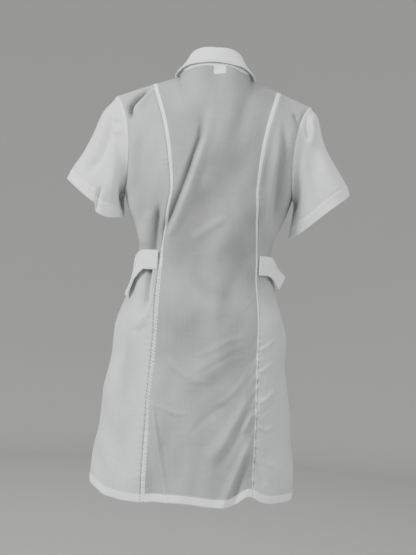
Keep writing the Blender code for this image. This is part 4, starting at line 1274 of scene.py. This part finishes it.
def make_belts():
    for word in BELTS:
        body = "half_belt_" + word
        u, v = grid_places(48, 18)
        points, normal = belt_cloth(word, u, v)
        belt = cut_piece("belt_cloth_" + word, points, normal, no_hem(u), finish_of("doubled"), 0.0017)
        settle(belt)
        root, _ = belt_cloth(word, np.array([0.04, 0.27]), np.array([0.5, 0.5]))
        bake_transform(belt)
        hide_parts(body)
        u = np.linspace(0, 1, 160)
        lines = (
            (u * 0.97, np.full_like(u, 0.075)), (u * 0.97, np.full_like(u, 0.925)),
            (np.full_like(u, 0.972), 0.075 + 0.85 * u),
        )
        rows = sew_along(lambda a, b, word=word: belt_cloth(word, a, b), lines, 0.0011)
        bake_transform(stitch_mesh("belt_stitches_" + word, rows, finish_of("thread")))


# ======================================================================================================
# Pockets
# ======================================================================================================
POCKET_HEM = 0.025


def pocket_cloth(across, up, side, inner, outer, low, high, bulge):
    """A patch pocket on the front, standing off it most at its mouth."""
    height = mix(low, high, up)
    share = mix(inner(height), outer(height), across)
    base, normal, _ = body_cloth(front, -1, share, height, np.full_like(share, side))
    open_up = np.sin(pi * np.clip(across, 0.001, 0.999)) ** 0.8 * up ** 1.4
    droop = 0.0012 * np.sin(across * 14 + 3) * up
    points = base + normal * (0.0018 + bulge * open_up + droop * np.sin(pi * across))[..., None]
    points[..., 2] -= 0.006 * open_up * up ** 3
    return points, normal


def make_pockets():
    hip = (
        lambda h: mix(front_princess(h), 1, 0.02), lambda h: mix(front_princess(h), 1, 0.86),
        height_of(-0.630), height_of(-0.455), 0.010,
    )
    breast = (lambda h: np.full_like(h, 0.37), lambda h: np.full_like(h, 0.74), 1.29, 1.63, 0.006)
    for name, side, shape, replaced in (
        ("hip_pocket_cloth_left", 1, hip, "hip_pocket_left"), ("hip_pocket_cloth_right", -1, hip, "hip_pocket_right"),
        ("breast_pocket_cloth", 1, breast, "breast_pocket"),
    ):
        u, v = grid_places(44, 56)
        points, normal = pocket_cloth(u, v, side, *shape)
        tall = lengths(points, 0)[-1]
        pocket = cut_piece(
            name, points, normal, {"hem": tall - lengths(points, 0)}, finish_of("pocket"), 0.0010,
        )
        blend_front(pocket)
        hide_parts(replaced)
        u = np.linspace(0, 1, 140)
        mouth = float(1 - POCKET_HEM / tall.mean())
        lines = (
            (np.full_like(u, 0.022), u * 0.985), (np.full_like(u, 0.978), u * 0.985),
            (0.022 + 0.956 * u, np.full_like(u, 0.016)), (0.02 + 0.96 * u, np.full_like(u, mouth)),
        )
        rows = sew_along(lambda a, b, side=side, shape=shape: pocket_cloth(a, b, side, *shape), lines, 0.0008)
        blend_front(stitch_mesh(name + "_stitches", rows, finish_of("thread")))


# ======================================================================================================
# Buttons and buttonholes
# ======================================================================================================
BUTTONS, BUTTON_STEP, TOP_BUTTONHOLE_Z = 5, 0.112, -0.228
HOLE_OUT = 0.0019                    # how far a button's holes are from its middle, each way
X_WAY, Y_WAY, Z_WAY = np.eye(3)


def mould_button(name, radius):
    """A flat round button with four holes, lying face up."""
    bm = bmesh.new()
    bmesh.ops.create_circle(bm, cap_ends=True, segments=48, radius=radius)
    bmesh.ops.recalc_face_normals(bm, faces=bm.faces)
    bmesh.ops.translate(bm, verts=bm.verts, vec=(0, 0, 0.0007))
    mesh = bpy.data.meshes.new(name)
    bm.to_mesh(mesh)
    bm.free()
    button = bpy.data.objects.new(name, mesh)
    bpy.context.scene.collection.objects.link(button)
    thick = button.modifiers.new("Thickness", "SOLIDIFY")
    thick.thickness, thick.offset = 0.0018, -1
    cutters = []
    for x, y in ((-1, -1), (1, -1), (-1, 1), (1, 1)):
        hole = bmesh.new()
        bmesh.ops.create_cone(hole, cap_ends=True, segments=16, radius1=0.0008, radius2=0.0008, depth=0.02)
        bmesh.ops.translate(hole, verts=hole.verts, vec=(HOLE_OUT * x, HOLE_OUT * y, 0))
        cutter = bpy.data.objects.new("hole", bpy.data.meshes.new("hole"))
        hole.to_mesh(cutter.data)
        hole.free()
        bpy.context.scene.collection.objects.link(cutter)
        bore = button.modifiers.new("Hole", "BOOLEAN")
        bore.object, bore.solver = cutter, "EXACT"
        cutters.append(cutter)
    settle(button)
    for cutter in cutters:
        bpy.data.objects.remove(cutter)
    return button


def buttonhole_stitches():
    """Close stitches down both sides of each buttonhole on the right front, and across its ends."""
    holes = []                       # level, place across, half length, thickness, and whether it is upright
    for i in range(BUTTONS):
        z = TOP_BUTTONHOLE_Z - BUTTON_STEP * i
        for across in (-0.0011, 0.0011):
            holes += [(z - 0.0095 + k * 0.0005, across, 0.0009, 0.00028, 0) for k in range(38)]
        for at in (z - 0.0101, z + 0.0101):
            holes += [(at, (k - 1) * 0.0009, 0.0011, 0.0003, 1) for k in range(3)]
    level, across = np.array([h[:2] for h in holes]).T
    height = height_of(level)
    height = np.where(height > 1, 1 + (height - 1) * (UNDERARM_Z - HEM_Z) / -UNDERARM_Z, height)
    share = (OVERLAP + across) / 0.12
    for _ in range(12):
        share = share * (OVERLAP + across) / (front(share, height)[..., 0] + OVERLAP)
    rows = []
    for (_, _, half, thick, upright), p, n in zip(holes, *line_on(front, -1, share, height, -1.0)):
        along = Z_WAY if upright else X_WAY
        along = unit(along - n * np.dot(along, n))
        rows.append((p, along, np.cross(n, along), n, half, thick))
    return rows


def make_buttons():
    rows = []
    for i in range(BUTTONS):
        name = "button_" + str(i + 1)
        low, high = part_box(name)
        z, face = (low[2] + high[2]) / 2, low[1]
        button = mould_button(name + "_moulded", (high[0] - low[0]) / 2)
        button.data.transform(Matrix.Translation((0, face + 0.0022, z)) @ Matrix.Rotation(radians(90), 4, "X"))
        button.data.materials.append(finish_of("button"))
        button.data.shade_smooth()
        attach(button, "front_left")
        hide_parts(name)
        for across in (-1, 1):
            rows.append((np.array([HOLE_OUT * across, face + 0.0012, z]), Z_WAY, X_WAY, -Y_WAY, 0.0027, 0.0006))
        rows.append((np.array([0.0, face + 0.0040, z]), Y_WAY, X_WAY, Z_WAY, 0.0022, 0.0014))
    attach(stitch_mesh("button_threads", rows, finish_of("thread")), "front_left")
    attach(stitch_mesh("buttonhole_stitches", buttonhole_stitches(), finish_of("thread")), "front_right")


def settle(piece):
    """Make a piece's modifiers part of its mesh."""
    bpy.context.view_layer.update()
    seen = piece.evaluated_get(bpy.context.evaluated_depsgraph_get())
    mesh = bpy.data.meshes.new_from_object(seen)
    old = piece.data
    piece.modifiers.clear()
    piece.data = mesh
    mesh.name = old.name
    bpy.data.meshes.remove(old)


# ======================================================================================================
# Stage
# ======================================================================================================
def make_stage():
    bm = bmesh.new()
    floor_z, reach, rise, flat_share = -1.5, 5.2, 3.6, 0.72
    edge = [
        bm.verts.new((reach * t, 0, floor_z + rise * max(0.0, (t - flat_share) / (1 - flat_share)) ** 2))
        for t in np.linspace(0, 1, 24)
    ]
    ribs = [bm.edges.new((a, b)) for a, b in zip(edge, edge[1:])]
    bmesh.ops.spin(
        bm, geom=edge + ribs, cent=(0, 0, 0), axis=(0, 0, 1), angle=2 * pi, steps=96, use_merge=True,
        use_duplicate=False,
    )
    bmesh.ops.remove_doubles(bm, verts=bm.verts, dist=1e-4)
    mesh = bpy.data.meshes.new("studio_floor")
    bm.to_mesh(mesh)
    bm.free()
    if sum(p.normal.z for p in mesh.polygons) < 0:
        mesh.flip_normals()
    mesh.shade_smooth()
    mesh.materials.append(finish_of("floor"))
    floor = bpy.data.objects.new("studio_floor", mesh)
    bpy.context.scene.collection.objects.link(floor)
    lights = bpy.context.scene.lab_coat_stage
    for name, at, size, power in (
        ("key", (2.8, 2.0, 1.4), 1.3, lights.key_power),
        ("fill", (-2.4, 2.6, 0.9), 2.4, 2.6 * lights.fill_power),
        ("front", (0.6, -3.0, 1.4), 2.6, lights.fill_power),
        ("over", (0.2, 0.6, 2.9), 2.4, lights.fill_power),
    ):
        data = bpy.data.lights.new(name, "AREA")
        data.shape, data.size, data.energy = "DISK", size, power
        lamp = bpy.data.objects.new(name, data)
        bpy.context.scene.collection.objects.link(lamp)
        lamp.location = at
        lamp.rotation_euler = (Vector((0, 0, -0.45)) - Vector(at)).to_track_quat("-Z", "Y").to_euler()
    world = bpy.data.worlds.new("studio")
    world.use_nodes = True
    world.node_tree.nodes["Background"].inputs["Color"].default_value = (1, 1, 1, 1)
    world.node_tree.nodes["Background"].inputs["Strength"].default_value = lights.ambient
    bpy.context.scene.world = world
    data = bpy.data.cameras.new("camera")
    data.sensor_fit, data.sensor_height, data.lens = "VERTICAL", 24.0, 44.2
    data.clip_end = 40
    camera = bpy.data.objects.new("camera", data)
    bpy.context.scene.collection.objects.link(camera)
    turn = Matrix.Rotation(pi, 4, "Z") @ Matrix.Rotation(pi / 2, 4, "X") @ Matrix.Rotation(radians(3.36), 4, "Z")
    camera.matrix_world = Matrix.Translation((-0.0098, 2.3, -0.4457)) @ turn
    bpy.context.scene.camera = camera


# ======================================================================================================
# Settings, operators and panel
# ======================================================================================================
def size_property(name, words, default, low, high):
    return bpy.props.FloatProperty(
        name=name, description=words, default=default, min=low, max=high, unit="LENGTH", precision=4,
    )


class LabCoatSizes(bpy.types.PropertyGroup):
    cloth_thickness: size_property(
        "Cloth thickness", "Thickness of one layer of the body's cloth", 0.0008, 0.0003, 0.002,
    )
    seam_allowance: size_property(
        "Seam allowance", "Width of the pressed seam allowances at the shoulders", 0.010, 0.004, 0.016,
    )
    hem_width: size_property("Hem width", "Width of the coat's hem", 0.017, 0.008, 0.04)
    cuff_width: size_property("Sleeve hem width", "Width of the sleeves' hems", 0.025, 0.01, 0.04)
    belt_width: size_property("Belt width", "Width of the half belts", 0.042, 0.02, 0.06)
    belt_length_left: size_property(
        "Left belt length", "Length of the wearer's left half belt", 0.130, 0.05, 0.16,
    )
    belt_length_right: size_property(
        "Right belt length", "Length of the wearer's right half belt", 0.086, 0.05, 0.12,
    )
    stitch_pitch: size_property("Stitch pitch", "Distance from one stitch to the next", 0.003, 0.002, 0.006)
    fold_depth: bpy.props.FloatProperty(
        name="Fold depth", description="Depth of the cloth's folds, as a share of the usual one", default=1.0, min=0.0,
        max=1.3, subtype="FACTOR",
    )


def colour_property(name, words, default):
    return bpy.props.FloatVectorProperty(
        name=name, description=words, default=default, size=3, min=0.0, max=1.0, subtype="COLOR",
    )


class LabCoatColours(bpy.types.PropertyGroup):
    # painted shade: the darkest colour painted on the sheer body cloth, where a dark form would show through it
    shaded_single_layer: colour_property(
        "Single layer", "Colour of sheer cloth lying close on what is under it", (0.27, 0.28, 0.274),
    )
    # the lightest colour of the body cloth's painted shade, where it hangs clear
    lit_clear_layer: colour_property(
        "Clear cloth", "Colour of one layer of cloth that hangs clear", (0.63, 0.645, 0.645),
    )
    double_layer: colour_property(
        "Double layer", "Colour where hems and seam allowances back the cloth", (0.88, 0.89, 0.915),
    )
    sleeve_layer: colour_property(
        "Sleeves", "Colour of the sleeves, which hang clear of the body", (0.76, 0.77, 0.78),
    )
    label: colour_property("Label", "Colour of the blank satin label", (0.84, 0.84, 0.83))
    thread: colour_property("Thread", "Colour of the sewing thread", (0.80, 0.80, 0.80))
    button: colour_property("Buttons", "Colour of the moulded buttons", (0.86, 0.86, 0.84))
    floor: colour_property("Studio floor", "Colour of the plain floor and backdrop", (0.42, 0.42, 0.415))


class LabCoatStage(bpy.types.PropertyGroup):
    key_power: bpy.props.FloatProperty(
        name="Key light", description="Power of the main light", default=165.0, min=0.0, unit="POWER",
    )
    fill_power: bpy.props.FloatProperty(
        name="Fill lights", description="Power of each soft fill light", default=24.0, min=0.0, unit="POWER",
    )
    ambient: bpy.props.FloatProperty(
        name="Ambient", description="Strength of the light from all round", default=0.6, min=0.0, max=4.0,
    )


class COAT_OT_back(bpy.types.Operator):
    """Cut and sew the three back panels, with their folds, puckers and hem."""

    bl_idname = "coat.back"
    bl_label = "Back"
    bl_options = {"REGISTER", "UNDO"}

    def execute(self, context):
        make_back()
        return {"FINISHED"}


class COAT_OT_fronts(bpy.types.Operator):
    """Cut and sew the two fronts, their side panels and the lapels."""

    bl_idname = "coat.fronts"
    bl_label = "Fronts"
    bl_options = {"REGISTER", "UNDO"}

    def execute(self, context):
        make_fronts()
        return {"FINISHED"}


class COAT_OT_collar(bpy.types.Operator):
    """Fold the upper and under collar round the neck."""

    bl_idname = "coat.collar"
    bl_label = "Collar"
    bl_options = {"REGISTER", "UNDO"}

    def execute(self, context):
        make_collar()
        return {"FINISHED"}


class COAT_OT_neck_trim(bpy.types.Operator):
    """Sew the neck tape and the blank label inside the back neck."""

    bl_idname = "coat.neck_trim"
    bl_label = "Neck Trim"
    bl_options = {"REGISTER", "UNDO"}

    def execute(self, context):
        make_neck_trim()
        return {"FINISHED"}


class COAT_OT_sleeves(bpy.types.Operator):
    """Set the two short sleeves into the armholes."""

    bl_idname = "coat.sleeves"
    bl_label = "Sleeves"
    bl_options = {"REGISTER", "UNDO"}

    def execute(self, context):
        make_sleeves()
        return {"FINISHED"}


class COAT_OT_belts(bpy.types.Operator):
    """Sew the two half belts, loose at one end, to the back's seams."""

    bl_idname = "coat.belts"
    bl_label = "Half Belts"
    bl_options = {"REGISTER", "UNDO"}

    def execute(self, context):
        make_belts()
        return {"FINISHED"}


class COAT_OT_pockets(bpy.types.Operator):
    """Sew the two hip pockets and the breast pocket on."""

    bl_idname = "coat.pockets"
    bl_label = "Pockets"
    bl_options = {"REGISTER", "UNDO"}

    def execute(self, context):
        make_pockets()
        return {"FINISHED"}


class COAT_OT_buttons(bpy.types.Operator):
    """Mould the five buttons and work their buttonholes."""

    bl_idname = "coat.buttons"
    bl_label = "Buttons"
    bl_options = {"REGISTER", "UNDO"}

    def execute(self, context):
        make_buttons()
        return {"FINISHED"}


class COAT_OT_stage(bpy.types.Operator):
    """Set up the plain floor, the soft lights and the camera."""

    bl_idname = "coat.stage"
    bl_label = "Studio"
    bl_options = {"REGISTER", "UNDO"}

    def execute(self, context):
        make_stage()
        return {"FINISHED"}


class COAT_PT_maker(bpy.types.Panel):
    """The coat's sizes and colours, the studio, and one button for each group of pieces."""

    bl_label = "Lab Coat Maker"
    bl_space_type = "VIEW_3D"
    bl_region_type = "UI"
    bl_category = "Lab Coat"

    def draw(self, context):
        scene = context.scene
        for settings in (scene.lab_coat_sizes, scene.lab_coat_colours, scene.lab_coat_stage):
            box = self.layout.box()
            for key in settings.__annotations__:
                box.prop(settings, key)
        for step in STEPS:
            self.layout.operator(step.bl_idname)


STEPS = (
    COAT_OT_back, COAT_OT_fronts, COAT_OT_collar, COAT_OT_neck_trim, COAT_OT_sleeves, COAT_OT_belts,
    COAT_OT_pockets, COAT_OT_buttons, COAT_OT_stage,
)
CLASSES = (LabCoatSizes, LabCoatColours, LabCoatStage, *STEPS, COAT_PT_maker)


def register():
    for cls in CLASSES:
        bpy.utils.register_class(cls)
    bpy.types.Scene.lab_coat_sizes = bpy.props.PointerProperty(type=LabCoatSizes)
    bpy.types.Scene.lab_coat_colours = bpy.props.PointerProperty(type=LabCoatColours)
    bpy.types.Scene.lab_coat_stage = bpy.props.PointerProperty(type=LabCoatStage)


def unregister():
    del bpy.types.Scene.lab_coat_stage
    del bpy.types.Scene.lab_coat_colours
    del bpy.types.Scene.lab_coat_sizes
    for cls in reversed(CLASSES):
        bpy.utils.unregister_class(cls)


def main():
    register()
    bpy.ops.coat.back()
    bpy.ops.coat.fronts()
    bpy.ops.coat.collar()
    bpy.ops.coat.neck_trim()
    bpy.ops.coat.sleeves()
    bpy.ops.coat.belts()
    bpy.ops.coat.pockets()
    bpy.ops.coat.buttons()
    bpy.ops.coat.stage()


if __name__ == "__main__":
    main()
